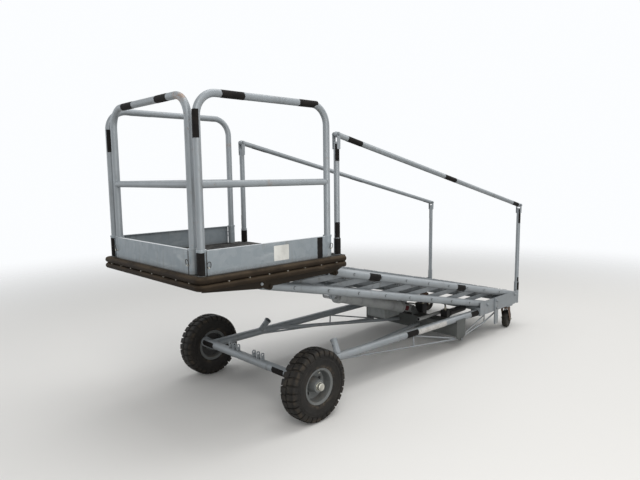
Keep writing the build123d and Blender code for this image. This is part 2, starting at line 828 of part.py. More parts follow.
with BuildPart() as crosshead:
    head = along_link(lower_foot, eye_along, crosshead_below)
    add(cross_rod(*head, -stair_half, stair_half, crosshead_d))
    add(cross_rod(*head, -stair_half - 1, stair_half + 1, crosshead_d - 8), mode=Mode.SUBTRACT)
    for _, sign in sides:
        start = along_link(lower_foot, 0)
        end = along_link(lower_foot, link_length)
        add(rod((start[0], sign * stair_half, start[1]), (end[0], sign * stair_half, end[1]),
                stair_tube_d), mode=Mode.SUBTRACT)
    for sign in (1, -1):
        with BuildSketch(side_plane(sign * (lug_gap_half + lug_thick / 2))):
            with Locations(eye):
                Circle(32)
            with Locations(head):
                Circle(crosshead_d / 2 + 10)
            make_hull()
            with Locations(head):
                Circle(crosshead_d / 2 - 1, mode=Mode.SUBTRACT)
        extrude(amount=lug_thick / 2, both=True)
        add(cross_rod(*eye, sign * (lug_gap_half + 1), sign * (lug_gap_half + lug_thick + 8), 38))
finish(crosshead, "crosshead")

# Stair: eight level treads, each hung between the upper and the lower tubes

for number in range(1, tread_count + 1):
    with BuildPart() as tread:
        rear_pin = along_link(upper_foot, number * tread_pitch)
        front_pin = along_link(lower_foot, number * tread_pitch)
        add(tread_pan(rear_pin, ear_inner))
        for _, sign in sides:
            with BuildSketch(side_plane(sign * arm_half)):
                for pin in (rear_pin, front_pin):
                    with Locations(pin):
                        Circle(arm_height / 2)
                make_hull()
            extrude(amount=arm_thick / 2, both=True)
            for pin in (rear_pin, front_pin):
                add(cross_rod(*pin, sign * arm_half, sign * (stair_half + tube_r + pin_head), tread_pin_d))
                add(cross_rod(*pin, sign * (stair_half + tube_r + 0.5),
                              sign * (stair_half + tube_r + pin_head), 18))
    finish(tread, f"tread_{number}")

# Platform: frame with tapered side skirts, hangers and pins for the stair tubes

platform_x = upper_head[0]
rear_edge = platform_x + deck_rear
front_edge = platform_x + deck_front
skirt_half = deck_half - skirt_thick / 2
beam_bottom = deck_under - frame_depth + 8
boss_d = 42.0
skirt_edge = (
    # distance ahead of the upper platform pin, drop below the deck's top
    (deck_front, 83),
    (649, 119),
    (39, 106),
    (-1, 104),
    (deck_rear + 12, 70),
    (deck_rear, 66),
)

with BuildPart() as deck_frame:
    for _, sign in sides:
        with BuildSketch(side_plane(sign * skirt_half)):
            with BuildLine():
                lower_edge = [(platform_x + ahead, deck_z - drop) for ahead, drop in skirt_edge]
                Polyline((rear_edge, deck_under), (front_edge, deck_under), *lower_edge, close=True)
            make_face()
        extrude(amount=skirt_thick / 2, both=True)
        with BuildSketch(side_plane(sign * hanger_half)):
            with Locations(((rear_edge + front_edge) / 2, (deck_under + beam_bottom) / 2)):
                Rectangle(front_edge - rear_edge, deck_under - beam_bottom)
        extrude(amount=3, both=True)
        for head, lobe in ((upper_head, 26), (lower_head, 32)):
            with BuildSketch(side_plane(sign * hanger_half)):
                with Locations(head):
                    Circle(lobe)
                with Locations((head[0], beam_bottom + 3)):
                    Rectangle(2 * lobe + 30, 6)
                make_hull()
            extrude(amount=3, both=True)
            add(cross_rod(*head, sign * (stair_half + tube_r + 1), sign * skirt_half, boss_d))
            add(cross_rod(*head, sign * (hanger_half - 9), sign * skirt_half, main_pin_d))
            add(cross_rod(*head, sign * (hanger_half - 12), sign * (hanger_half - 3), 26))
            add(cross_rod(*head, sign * skirt_half, sign * (deck_half + 7), 24))
    add(block(rear_edge, rear_edge + 30, -skirt_half, skirt_half, beam_bottom, deck_under))
    add(block(front_edge - 6, front_edge, -skirt_half, skirt_half, deck_z - 78, deck_under))
    for share in (0.3, 0.55, 0.8):
        x = rear_edge + share * (front_edge - rear_edge)
        add(block(x, x + 6, -hanger_half, hanger_half, beam_bottom + 20, deck_under))
        add(block(x, x + 40, -hanger_half, hanger_half, deck_under - 5, deck_under))
    corners = deck_frame.edges().filter_by(Axis.Z).group_by(Axis.X)[-1]
    fillet(corners.filter_by(lambda edge: abs(edge.center().Y) > deck_half - 0.5), corner_radius)
finish(deck_frame, "deck_frame")

front_posts_x = platform_x + front_post_ahead
rear_posts_x = platform_x + rear_post_ahead
socket_r = socket_d / 2
toe_outer = side_post_half + socket_r
toe_front = front_posts_x + socket_r
sheet_gap = 6.0

with BuildPart() as deck_plate:
    with BuildSketch(Plane.XY.offset(deck_under)):
        with Locations(((rear_edge + front_edge) / 2, 0)):
            Rectangle(front_edge - rear_edge, 2 * deck_half)
        fillet(vertices().group_by(Axis.X)[-1], corner_radius)
    extrude(amount=deck_thick)
    with BuildSketch(Plane.XY.offset(deck_z)):
        with BuildLine():
            Polyline(
                (rear_edge + sheet_gap, 0),
                (rear_edge + sheet_gap, rail_half - sleeve_r - sheet_gap),
                (front_rail_x + sleeve_r + sheet_gap, rail_half - sleeve_r - sheet_gap),
                (front_rail_x + sleeve_r + sheet_gap, side_post_half - socket_r - sheet_gap),
                (front_posts_x - socket_r - sheet_gap, side_post_half - socket_r - sheet_gap),
                (front_posts_x - socket_r - sheet_gap, 0),
                close=True,
            )
        make_face()
        mirror(about=Plane.XZ)
    extrude(amount=grip_sheet)
finish(deck_plate, "deck_plate")

# Platform: toe boards with turned-in lips and the sockets that the hoops stand in


def hoop_socket(x, y):
    # Tube that a hoop's leg stands in, with a rolled rim.
    with BuildPart() as piece:
        with BuildSketch(Plane.XY.offset(deck_z)):
            with Locations((x, y)):
                Circle(socket_r)
        extrude(amount=socket_height)
        with BuildSketch(Plane.XY.offset(deck_z + socket_height - 12)):
            with Locations((x, y)):
                Circle(socket_r + 3)
        extrude(amount=12)
        with BuildSketch(Plane.XY.offset(deck_z)):
            with Locations((x, y)):
                Circle(hoop_d / 2 + loose_gap)
        extrude(amount=socket_height, mode=Mode.SUBTRACT)
    return piece.part


for side, sign in sides:
    with BuildPart() as toe_board:
        front = front_posts_x - socket_r + 6
        rear = rear_posts_x + socket_r - 6
        add(block(rear, front, sign * (toe_outer - toe_sheet), sign * toe_outer,
                  deck_z, deck_z + toe_height))
        add(block(rear, front, sign * (toe_outer - toe_lip), sign * toe_outer,
                  deck_z + toe_height - toe_sheet, deck_z + toe_height))
        for x in (front_posts_x, rear_posts_x):
            add(rod((x, sign * side_post_half, deck_z), (x, sign * side_post_half, deck_z + 20),
                    hoop_d + 2 * loose_gap), mode=Mode.SUBTRACT)
            add(hoop_socket(x, sign * side_post_half))
            add(rod((x, sign * side_post_half, deck_z), (x, sign * side_post_half, deck_z + 200),
                    hoop_d + 2 * loose_gap), mode=Mode.SUBTRACT)
    finish(toe_board, f"toe_board_{side}")

with BuildPart() as toe_board_front:
    reach = front_post_half - socket_r + 6
    add(block(toe_front - toe_sheet, toe_front, -reach, reach, deck_z, deck_z + toe_height))
    add(block(toe_front - toe_lip, toe_front, -reach, reach,
              deck_z + toe_height - toe_sheet, deck_z + toe_height))
    for _, sign in sides:
        add(hoop_socket(front_posts_x, sign * front_post_half))
        add(rod((front_posts_x, sign * front_post_half, deck_z),
                (front_posts_x, sign * front_post_half, deck_z + 200),
                hoop_d + 2 * loose_gap), mode=Mode.SUBTRACT)
finish(toe_board_front, "toe_board_front")

# Platform: rubber bumper, two D-shaped lobes on a web along the front and both sides

lobe_r = 17.5
bumper_groove = 4.0
bumper_web = 8.0
lobe_centre = bumper_groove / 2 + lobe_r
bumper_z = deck_z - lobe_centre - lobe_r
bumper_end = platform_x + bumper_rear

with BuildPart() as bumper:
    with BuildLine() as bumper_path:
        FilletPolyline(
            (bumper_end, deck_half, bumper_z), (front_edge, deck_half, bumper_z),
            (front_edge, -deck_half, bumper_z), (bumper_end, -deck_half, bumper_z),
            radius=corner_radius,
        )
    with BuildSketch(Plane(origin=(bumper_end, deck_half, bumper_z), x_dir=(0, 1, 0), z_dir=(1, 0, 0))):
        for centre in (-lobe_centre, lobe_centre):
            with Locations(((bumper_depth - lobe_r) / 2, centre)):
                Rectangle(bumper_depth - lobe_r, 2 * lobe_r)
            with Locations((bumper_depth - lobe_r, centre)):
                Circle(lobe_r)
        with Locations((bumper_web / 2, 0)):
            Rectangle(bumper_web, 2 * lobe_centre)
    sweep(path=bumper_path.wire())
finish(bumper, "bumper")

# Platform: guard-rail hoops with middle rails


def hoop(corner_a, corner_b):
    # Bent tube hoop standing on two corners given in plan, with a middle rail.
    foot_a = Vector(corner_a[0], corner_a[1], deck_z)
    foot_b = Vector(corner_b[0], corner_b[1], deck_z)
    rise = Vector(0, 0, hoop_top)
    middle = Vector(0, 0, hoop_mid)
    with BuildPart() as piece:
        with BuildLine() as path:
            FilletPolyline(foot_a, foot_a + rise, foot_b + rise, foot_b, radius=hoop_bend)
        with BuildSketch(Plane.XY.offset(deck_z)):
            with Locations(corner_a):
                Circle(hoop_d / 2)
        sweep(path=path.wire())
        add(rod(foot_a + middle, foot_b + middle, hoop_middle_d))
        with BuildSketch(Plane.XY.offset(deck_z)):
            with Locations(corner_a):
                Circle(hoop_d / 2 - hoop_wall)
        sweep(path=path.wire(), mode=Mode.SUBTRACT)
    return piece.part


with BuildPart() as hoop_front:
    add(hoop((front_posts_x, front_post_half), (front_posts_x, -front_post_half)))
finish(hoop_front, "hoop_front")

for side, sign in sides:
    with BuildPart() as hoop_side:
        add(hoop((front_posts_x, sign * side_post_half), (rear_posts_x, sign * side_post_half)))
    finish(hoop_side, f"hoop_{side}")

# Handrails: platform posts and the long rails that follow the stair's slope

for side, sign in sides:
    with BuildPart() as front_post:
        add(rail_post(front_rail_x, sign, deck_z, front_rail_z, front_shoulder))
        add(rod((front_rail_x, sign * rail_half, deck_z), (front_rail_x, sign * rail_half, deck_z + 110),
                2 * sleeve_r))
        add(rod((front_rail_x, sign * rail_half, deck_z), (front_rail_x, sign * rail_half, deck_z + 111),
                rail_d - 2 * rail_wall), mode=Mode.SUBTRACT)
    finish(front_post, f"front_post_{side}")

    with BuildPart() as handrail:
        foot = (posts_x, posts_top)
        head = along_link(foot, link_length)
        direction = (cos(slope), 0, sin(slope))
        origin = (foot[0], sign * rail_half, foot[1])
        with BuildSketch(Plane(origin=origin, x_dir=direction, z_dir=(0, -1, 0))):
            with BuildLine():
                radius = rail_d / 2
                bore = radius - rail_wall
                CenterArc((0, 0), radius, 90, 90)
                Line((0, radius), (link_length, radius))
                CenterArc((link_length, 0), radius, 0, 90)
                Polyline(
                    (link_length + radius, 0), (link_length + rail_wall, 0),
                    (link_length + rail_wall, bore), (-rail_wall, bore), (-rail_wall, 0),
                    (-radius, 0),
                )
            make_face()
        revolve(axis=Axis(origin, direction))
        for pin in (foot, head):
            add(cross_rod(*pin, sign * rail_half - rail_d, sign * rail_half + rail_d,
                          rail_pin_d + 2 * running_gap), mode=Mode.SUBTRACT)
    finish(handrail, f"handrail_{side}")

# Lift cylinder: barrel on the cross-beam's ears and a piston rod with its eye

cylinder_length = hypot(eye[0] - cylinder_foot[0], eye[1] - cylinder_foot[1])
cylinder_angle = atan2(eye[1] - cylinder_foot[1], eye[0] - cylinder_foot[0])
cap_length = 145.0
gland_length = 40.0
gland_end = cylinder_length - 88.0
eye_width = 2 * (cylinder_ear_half - 2)


def cylinder_point(distance, y=0.0):
    return (
        cylinder_foot[0] + distance * cos(cylinder_angle),
        y,
        cylinder_foot[1] + distance * sin(cylinder_angle),
    )


with BuildPart() as cylinder_barrel:
    add(rod(cylinder_point(cap_length), cylinder_point(gland_end), barrel_d))
    add(rod(cylinder_point(gland_end - gland_length), cylinder_point(gland_end), barrel_d + 14))
    add(rod(cylinder_point(cap_length), cylinder_point(cap_length + 22), barrel_d + 12))
    add(rod(cylinder_point(30), cylinder_point(cap_length), 66))
    add(cross_rod(*cylinder_foot, -eye_width / 2, eye_width / 2, 76))
    add(rod(cylinder_point(cap_length + 22), cylinder_point(gland_end - gland_length),
            barrel_d - 2 * barrel_wall), mode=Mode.SUBTRACT)
    add(rod(cylinder_point(cap_length + 30), cylinder_point(gland_end + 1),
            piston_rod_d + 2 * running_gap), mode=Mode.SUBTRACT)
    add(cross_rod(*cylinder_foot, -60, 60, cylinder_pin_d + 2 * running_gap), mode=Mode.SUBTRACT)
finish(cylinder_barrel, "cylinder_barrel")

with BuildPart() as piston_rod:
    add(rod(cylinder_point(cap_length + 26), cylinder_point(cylinder_length - 20), piston_rod_d))
    add(rod(cylinder_point(cap_length + 26), cylinder_point(cap_length + 66),
            barrel_d - 2 * barrel_wall - 2 * running_gap))
    add(cross_rod(*eye, -lug_gap_half + 2, lug_gap_half - 2, 62))
    add(cross_rod(*eye, -60, 60, 32), mode=Mode.SUBTRACT)
finish(piston_rod, "piston_rod")
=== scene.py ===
import json
import random
from math import cos, pi, radians, sin

import bmesh
import bpy
from mathutils import Matrix, Vector

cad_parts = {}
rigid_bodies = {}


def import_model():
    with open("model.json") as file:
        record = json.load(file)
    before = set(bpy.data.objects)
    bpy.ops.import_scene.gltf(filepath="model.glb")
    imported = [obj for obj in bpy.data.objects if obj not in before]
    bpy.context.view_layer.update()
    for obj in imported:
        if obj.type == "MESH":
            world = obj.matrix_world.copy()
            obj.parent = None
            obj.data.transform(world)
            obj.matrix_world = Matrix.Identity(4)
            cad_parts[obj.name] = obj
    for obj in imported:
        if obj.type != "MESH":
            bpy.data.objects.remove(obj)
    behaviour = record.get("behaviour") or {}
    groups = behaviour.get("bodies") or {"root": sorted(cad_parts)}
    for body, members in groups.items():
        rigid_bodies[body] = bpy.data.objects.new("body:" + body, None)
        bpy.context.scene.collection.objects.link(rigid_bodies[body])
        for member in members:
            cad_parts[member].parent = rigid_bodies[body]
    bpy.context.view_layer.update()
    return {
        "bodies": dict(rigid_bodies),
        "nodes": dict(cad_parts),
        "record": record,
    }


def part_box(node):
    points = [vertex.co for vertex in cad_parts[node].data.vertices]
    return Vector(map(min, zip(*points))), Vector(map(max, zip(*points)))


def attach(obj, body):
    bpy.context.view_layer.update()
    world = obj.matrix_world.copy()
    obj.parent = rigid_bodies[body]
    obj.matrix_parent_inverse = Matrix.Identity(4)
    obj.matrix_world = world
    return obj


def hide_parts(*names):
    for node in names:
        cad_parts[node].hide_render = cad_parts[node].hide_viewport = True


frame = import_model()
nodes = frame["nodes"]
scene = bpy.context.scene
scene.view_settings.view_transform = "Standard"
random.seed(11)
print("frame loaded:", len(nodes), "nodes")

# Camera, floor and light: where the photographer stood, on a pale studio floor

viewPoint = {
    "place": (3.3210, 2.9924, 1.5542),   # metres, in the part's frame
    "yaw": 225.92,                       # degrees
    "pitch": -6.849,
    "roll": -0.712,
    "lens": 30.052,                      # millimetres on a 36 mm sensor, for a 640 x 480 frame
}

studio = {
    "floorColour": (0.74, 0.73, 0.71),
    "floorRadius": 9.0,
    "fadeFrom": 3.2,                     # the floor runs out into white from here
    "fadeTo": 8.5,
    "skyColour": (0.97, 0.985, 1.0),
    "skyLight": 0.50,                    # the sky's share as a lamp
    "aim": (0.1, 0, 0.6),                # what the lamps point at
    # each lamp: place, size, watts, colour
    "key": ((4.2, 4.6, 5.4), 3.6, 150.0, (1.0, 0.985, 0.96)),
    "fill": ((5.2, -4.2, 2.6), 4.0, 40.0, (0.94, 0.97, 1.0)),
    "rear": ((-5.0, 2.2, 4.4), 3.0, 80.0, (1.0, 0.99, 0.97)),
    "top": ((0.0, 0.4, 6.4), 5.0, 155.0, (1.0, 1.0, 1.0)),
    "low": ((2.4, 5.6, 0.9), 3.0, 92.0, (1.0, 0.98, 0.95)),
}


def placeCamera():
    yaw, pitch, roll = (radians(viewPoint[key]) for key in ("yaw", "pitch", "roll"))
    forward = Vector((cos(yaw) * cos(pitch), sin(yaw) * cos(pitch), sin(pitch)))
    right = Vector((sin(yaw), -cos(yaw), 0))
    up = right.cross(forward)
    rolledRight = right * cos(roll) + up * sin(roll)
    rolledUp = up * cos(roll) - right * sin(roll)
    data = bpy.data.cameras.new("photoCamera")
    data.sensor_fit = "HORIZONTAL"
    data.sensor_width = 36.0
    data.lens = viewPoint["lens"]
    camera = bpy.data.objects.new("photoCamera", data)
    turn = Matrix((rolledRight, rolledUp, -forward)).transposed().to_4x4()
    camera.matrix_world = Matrix.Translation(Vector(viewPoint["place"])) @ turn
    scene.collection.objects.link(camera)
    scene.camera = camera


def areaLight(name, place, size, power, colour):
    data = bpy.data.lights.new(name, "AREA")
    data.shape = "DISK"
    data.size = size
    data.energy = power
    data.color = colour
    lamp = bpy.data.objects.new(name, data)
    turn = (Vector(studio["aim"]) - Vector(place)).to_track_quat("-Z", "Y")
    lamp.matrix_world = Matrix.Translation(Vector(place)) @ turn.to_matrix().to_4x4()
    scene.collection.objects.link(lamp)


# Materials: sums on sockets write the nodes


class Field:                             # a socket's value, ready for Python sums
    def __init__(self, look, socket):
        self.look = look
        self.socket = socket

    def __add__(self, other):
        return self.look.sum("ADD", self, other)

    def __radd__(self, other):
        return self.look.sum("ADD", other, self)

    def __sub__(self, other):
        return self.look.sum("SUBTRACT", self, other)

    def __rsub__(self, other):
        return self.look.sum("SUBTRACT", other, self)

    def __mul__(self, other):
        return self.look.sum("MULTIPLY", self, other)

    def __rmul__(self, other):
        return self.look.sum("MULTIPLY", other, self)

    def most(self, other):
        return self.look.sum("MAXIMUM", self, other)

    def between(self, low, high, start=0.0, end=1.0):   # smooth step from low to high
        node = self.look.node("ShaderNodeMapRange", {"interpolation_type": "SMOOTHSTEP"},
                              {0: self, 1: low, 2: high, 3: start, 4: end})
        return Field(self.look, node.outputs[0])


class Look:                              # one procedural material, or the sky's world
    def __init__(self, name, owner=None):
        self.material = owner or bpy.data.materials.new(name)
        self.material.use_nodes = True
        self.tree = self.material.node_tree
        self.tree.nodes.clear()
        self.place = Field(self, self.node("ShaderNodeTexCoord").outputs["Object"])

    def node(self, kind, settings=None, values=None):
        made = self.tree.nodes.new(kind)
        for name, value in (settings or {}).items():
            setattr(made, name, value)
        for name, value in (values or {}).items():
            if isinstance(value, Field):
                self.tree.links.new(value.socket, made.inputs[name])
            else:
                made.inputs[name].default_value = value
        return made

    def sum(self, operation, first, second):
        made = self.node("ShaderNodeMath", {"operation": operation}, {0: first, 1: second})
        return Field(self, made.outputs[0])

    def axis(self, letter, at=None):
        parts = self.node("ShaderNodeSeparateXYZ", None, {0: at or self.place})
        return Field(self, parts.outputs[letter])

    def facing(self):                    # 1 where the surface looks up, -1 where it looks down
        return self.axis("Z", Field(self, self.node("ShaderNodeNewGeometry").outputs["Normal"]))

    def reach(self, away):               # a vector's length
        made = self.node("ShaderNodeVectorMath", {"operation": "LENGTH"}, {0: away})
        return Field(self, made.outputs["Value"])

    def scaled(self, scale, shift=(0, 0, 0)):
        mapping = self.node("ShaderNodeMapping", None,
                            {"Vector": self.place, "Scale": scale, "Location": shift})
        return Field(self, mapping.outputs[0])

    def noise(self, scale, detail, rough, stretch=None, warp=0.0):
        at = self.scaled(stretch) if stretch else self.place
        made = self.node("ShaderNodeTexNoise", None, {
            "Vector": at, "Scale": scale, "Detail": detail, "Roughness": rough, "Distortion": warp})
        return Field(self, made.outputs[0])

    def cells(self, scale, result="Distance", at=None):
        made = self.node("ShaderNodeTexVoronoi", None, {"Vector": at or self.place, "Scale": scale})
        return Field(self, made.outputs[result])

    def blend(self, mask, first, second):
        values = {0: mask}
        for slot, colour in ((6, first), (7, second)):
            values[slot] = colour if isinstance(colour, Field) else (*colour, 1.0)
        made = self.node("ShaderNodeMix", {"data_type": "RGBA"}, values)
        return Field(self, made.outputs[2])

    def bump(self, height, depth, strength):
        made = self.node("ShaderNodeBump", None,
                         {"Height": height, "Distance": depth, "Strength": strength})
        return Field(self, made.outputs[0])

    def surface(self, colour, rough, normal, metal=0.0, gloss=0.5):
        shader = self.node("ShaderNodeBsdfPrincipled", None, {
            "Base Color": colour, "Roughness": rough, "Normal": normal, "Metallic": metal,
            "Specular IOR Level": gloss})
        self.node("ShaderNodeOutputMaterial", None, {"Surface": Field(self, shader.outputs[0])})
        return self.material


placeCamera()
print("camera placed")


def makeStudio():
    look = Look("paleFloor")
    shade = look.node("ShaderNodeBsdfDiffuse", None, {"Color": (*studio["floorColour"], 1)})
    clear = look.node("ShaderNodeBsdfTransparent")
    fade = look.reach(look.place).between(studio["fadeFrom"], studio["fadeTo"])
    mix = look.node("ShaderNodeMixShader", None,
                    {0: fade, 1: Field(look, shade.outputs[0]), 2: Field(look, clear.outputs[0])})
    look.node("ShaderNodeOutputMaterial", None, {"Surface": Field(look, mix.outputs[0])})
    shape = bmesh.new()
    bmesh.ops.create_circle(shape, cap_ends=True, segments=64, radius=studio["floorRadius"])
    mesh = bpy.data.meshes.new("studioFloor")
    shape.to_mesh(mesh)
    shape.free()
    mesh.materials.append(look.material)
    floor = bpy.data.objects.new("studioFloor", mesh)
    scene.collection.objects.link(floor)

    # the sky is white to the camera and in reflections, and dimmer as a lamp
    sky = Look("studioSky", bpy.data.worlds.new("studioSky"))
    scene.world = sky.material
    rays = sky.node("ShaderNodeLightPath").outputs
    seen = Field(sky, rays["Is Camera Ray"])
    for kind in ("Is Glossy Ray", "Is Transmission Ray"):
        seen = seen.most(Field(sky, rays[kind]))
    strength = sky.node("ShaderNodeMapRange", None, {0: seen, 3: studio["skyLight"], 4: 1.0})
    glow = sky.node("ShaderNodeBackground", None, {
        "Color": (*studio["skyColour"], 1), "Strength": Field(sky, strength.outputs[0])})
    sky.node("ShaderNodeOutputWorld", None, {"Surface": Field(sky, glow.outputs[0])})
    for name in ("key", "fill", "rear", "top", "low"):
        areaLight(name + "Light", *studio[name])


makeStudio()
print("studio made")

# Finishes

wheelCentre = (1.0812, 0.605, 0.235)     # the left wheel's, metres
rustPatches = (                          # place and size of each, metres
    ((1.365, 0.541, 1.516), 0.034),
    ((1.824, 0.400, 1.990), 0.075),
    ((0.881, -0.541, 1.800), 0.030),
)


def aluminiumPaint(name, colour, dark):
    # satin silver paint: cloudy, painted shade underneath with darker blotches, a painted highlight on top,
    # small chips with rust bleeding from them
    look = Look(name)
    cloud = look.noise(3.0, 4, 0.6)
    blotch = look.noise(14.0, 5, 0.65, warp=0.6)
    fine = look.noise(240.0, 2, 0.5)
    streak = look.noise(30.0, 3, 0.6, stretch=(1, 1, 0.18))
    height = look.axis("Z")
    up = look.facing()
    under = (up * -1.0).between(-0.25, 0.9)
    top = up.between(0.45, 0.97)
    base = look.blend(cloud.between(0.35, 0.68), colour, [value * 0.88 for value in colour])
    # painted shade: faces that look down are darkened
    base = look.blend(under * 0.20, base, [value * 0.58 for value in colour])
    # painted highlight: faces that look up are lightened
    base = look.blend(top * 0.35, base, [value * 1.12 for value in colour])
    base = look.blend(streak.between(0.54, 0.74) * 0.32, base, dark)
    # painted shade: dark blotches on faces that look down
    base = look.blend(blotch.between(0.55, 0.75) * under * 0.6, base, dark)
    base = look.blend(top * blotch.between(0.38, 0.6) * 0.11, base, (0.44, 0.435, 0.42))
    spot = look.noise(55.0, 3, 0.7)
    gate = look.noise(5.0, 2, 0.5)
    chip = spot.between(0.66, 0.70) * gate.between(0.46, 0.58)
    halo = spot.between(0.60, 0.68) * gate.between(0.44, 0.58)
    base = look.blend(halo * 0.275, base, (0.26, 0.17, 0.11))
    base = look.blend(chip * 0.5, base, (0.13, 0.075, 0.05))
    mud = (1.0 - height.between(0.0, 0.46)) * blotch.between(0.42, 0.66) * 0.18
    base = look.blend(mud, base, (0.30, 0.245, 0.185))
    for place, size in rustPatches:
        away = look.scaled((1, 1, 1), [-value for value in place])
        patch = (1.0 - look.reach(away).between(size * 0.25, size)) * blotch.between(0.36, 0.56)
        base = look.blend(patch * 0.85, base, (0.215, 0.115, 0.055))
    rough = 0.36 + cloud * 0.16 + chip * 0.3 + mud * 0.4 + fine * 0.06
    bump = look.bump(fine * 0.4 + blotch * 0.6 - chip * 1.6, 0.0007, 0.55)
    return look.surface(base, rough, bump, metal=(1.0 - chip.most(mud)) * 0.30)


def galvanisedSheet(name):
    # dull zinc with faint spangle, water runs and white bloom, painted shade along its foot where it meets
    # the deck, dirt just above it, and a painted highlight on what faces up
    look = Look(name)
    grain = look.cells(34.0, result="Color", at=look.scaled((1, 1, 0.8)))
    tone = look.axis("X", grain)
    facet = look.axis("Y", grain)
    cloud = look.noise(5.0, 4, 0.6)
    fine = look.noise(160.0, 3, 0.6)
    smear = look.noise(6.5, 4, 0.6, stretch=(0.5, 0.5, 2.2), warp=0.5)
    run = look.noise(26.0, 4, 0.65, stretch=(1, 1, 0.10))
    height = look.axis("Z")
    up = look.facing()
    base = look.blend(tone.between(0.2, 0.8) * 0.35, (0.210, 0.240, 0.260), (0.270, 0.295, 0.312))
    base = look.blend(smear.between(0.52, 0.72) * 0.55, base, (0.37, 0.395, 0.405))
    base = look.blend(cloud.between(0.52, 0.70) * 0.35, base, (0.20, 0.235, 0.255))
    base = look.blend(run.between(0.54, 0.70) * 0.40, base, (0.17, 0.170, 0.160))
    # painted shade: a near-black band along the foot, where the sheet meets the deck
    foot = 1.0 - height.between(1.0305, 1.0385)
    base = look.blend(foot * 0.95, base, (0.014, 0.012, 0.010))
    grime = (1.0 - height.between(1.034, 1.062)) * fine.between(0.35, 0.6)
    base = look.blend(grime * 0.5, base, (0.105, 0.095, 0.080))
    # painted highlight on faces that look up
    base = look.blend(up.between(0.6, 0.98) * 0.8, base, (0.60, 0.62, 0.63))
    rough = 0.42 + facet * 0.14 + cloud * 0.1
    bump = look.bump(fine * 0.5 + tone * 0.15 + run * 0.3, 0.0005, 0.4)
    return look.surface(base, rough, bump, metal=0.42)


def dullPaint(name, colour, worn, dust=0.5, gloss=0.35):
    # brushed-on dark paint: lap marks, dust on what faces up, scratches to the metal
    look = Look(name)
    cloud = look.noise(4.0, 4, 0.6)
    fine = look.noise(90.0, 3, 0.6)
    scratch = look.noise(26.0, 4, 0.6, stretch=(1, 0.12, 1.0))
    up = look.facing()
    base = look.blend(cloud.between(0.35, 0.7), colour, [value * 1.45 for value in colour])
    base = look.blend(scratch.between(0.64, 0.72) * 0.55, base, worn)
    settled = up.between(0.3, 0.95) * look.noise(11.0, 4, 0.6).between(0.36, 0.66) * dust
    base = look.blend(settled, base, (0.135, 0.112, 0.086))
    rough = 0.55 + cloud * 0.2 + settled * 0.25
    bump = look.bump(fine + cloud * 0.5, 0.0006, 0.5)
    return look.surface(base, rough, bump, gloss=gloss)


def bumperRubber(name):
    # weathered brown-black rubber, scuffed along its length, dusty on top
    look = Look(name)
    cloud = look.noise(6.0, 4, 0.6)
    fine = look.noise(420.0, 2, 0.6)
    scuff = look.noise(34.0, 4, 0.65, stretch=(0.25, 0.25, 1.0))
    up = look.facing()
    base = look.blend(cloud.between(0.35, 0.68), (0.0120, 0.0078, 0.0044), (0.0236, 0.0163, 0.0098))
    base = look.blend(scuff.between(0.58, 0.70) * 0.5, base, (0.056, 0.042, 0.028))
    settled = up.between(0.05, 0.9) * cloud.between(0.3, 0.6) * 0.6
    base = look.blend(settled, base, (0.084, 0.062, 0.041))
    rough = 0.60 + cloud * 0.18 + settled * 0.1
    return look.surface(base, rough, look.bump(fine * 0.5 + scuff, 0.0006, 0.6), gloss=0.12)


def antislipCoat(name, low, high, wear, sides=None):
    # grit rolled into paint, rubbed through where feet land; sides may stay bare
    look = Look(name)
    grit = look.cells(480.0)
    fine = look.noise(700.0, 2, 0.6)
    cloud = look.noise(7.0, 4, 0.6)
    up = look.facing()
    base = look.blend(grit.between(0.15, 0.6), high, low)
    base = look.blend(cloud.between(0.5, 0.68) * 0.6, base, wear)
    settled = up.between(0.4, 0.9) * look.noise(15.0, 4, 0.6).between(0.42, 0.68) * 0.30
    base = look.blend(settled, base, (0.150, 0.138, 0.120))
    glint = look.cells(210.0).between(0.0, 0.16, 1.0, 0.0)
    base = look.blend(glint * cloud.between(0.40, 0.60) * 0.8, base, (0.36, 0.35, 0.33))
    bump = look.bump(1.0 - grit + fine * 0.4, 0.0011, 0.9)
    if sides:
        flank = 1.0 - up.between(0.55, 0.75)
        paint = look.blend(cloud.between(0.4, 0.66), sides, [value * 0.80 for value in sides])
        stain = look.noise(19.0, 4, 0.65).between(0.56, 0.70)
        paint = look.blend(stain * 0.5, paint, (0.10, 0.085, 0.07))
        base = look.blend(flank, base, paint)
        bump = look.bump((1.0 - grit + fine * 0.4) * (1.0 - flank) + cloud * 0.2, 0.0011, 0.9)
        return look.surface(base, 0.80 - flank * 0.36 + cloud * 0.12, bump, metal=flank * 0.25)
    return look.surface(base, 0.78 + cloud * 0.12, bump, gloss=0.3)


def tyreRubber(name, centre):
    # black rubber greyed by ozone, dust in the grooves and round the bead
    look = Look(name)
    cloud = look.noise(9.0, 4, 0.6)
    fine = look.noise(330.0, 2, 0.6)
    radius = look.reach(look.scaled((1, 0, 1), (-centre[0], 0, -centre[2])))
    base = look.blend(cloud.between(0.35, 0.68), (0.0062, 0.0056, 0.0048), (0.0135, 0.0118, 0.0098))
    dusty = look.noise(22.0, 4, 0.65).between(0.42, 0.66)
    groove = (1.0 - radius.between(0.2245, 0.2300)) * radius.between(0.196, 0.214)
    base = look.blend(groove * dusty * 0.35, base, (0.085, 0.066, 0.047))
    tread = radius.between(0.2325, 0.2346) * dusty * 0.5
    base = look.blend(tread, base, (0.060, 0.049, 0.037))
    bead = (1.0 - radius.between(0.122, 0.150)) * dusty * 0.6
    base = look.blend(bead, base, (0.085, 0.068, 0.050))
    ring = look.sum("PINGPONG", radius, 0.004)
    rough = 0.60 + cloud * 0.14 + dusty * 0.12
    bump = look.bump(fine * 0.35 + cloud * 0.3 + ring * 18.0, 0.0010, 0.5)
    return look.surface(base, rough, bump, gloss=0.28)


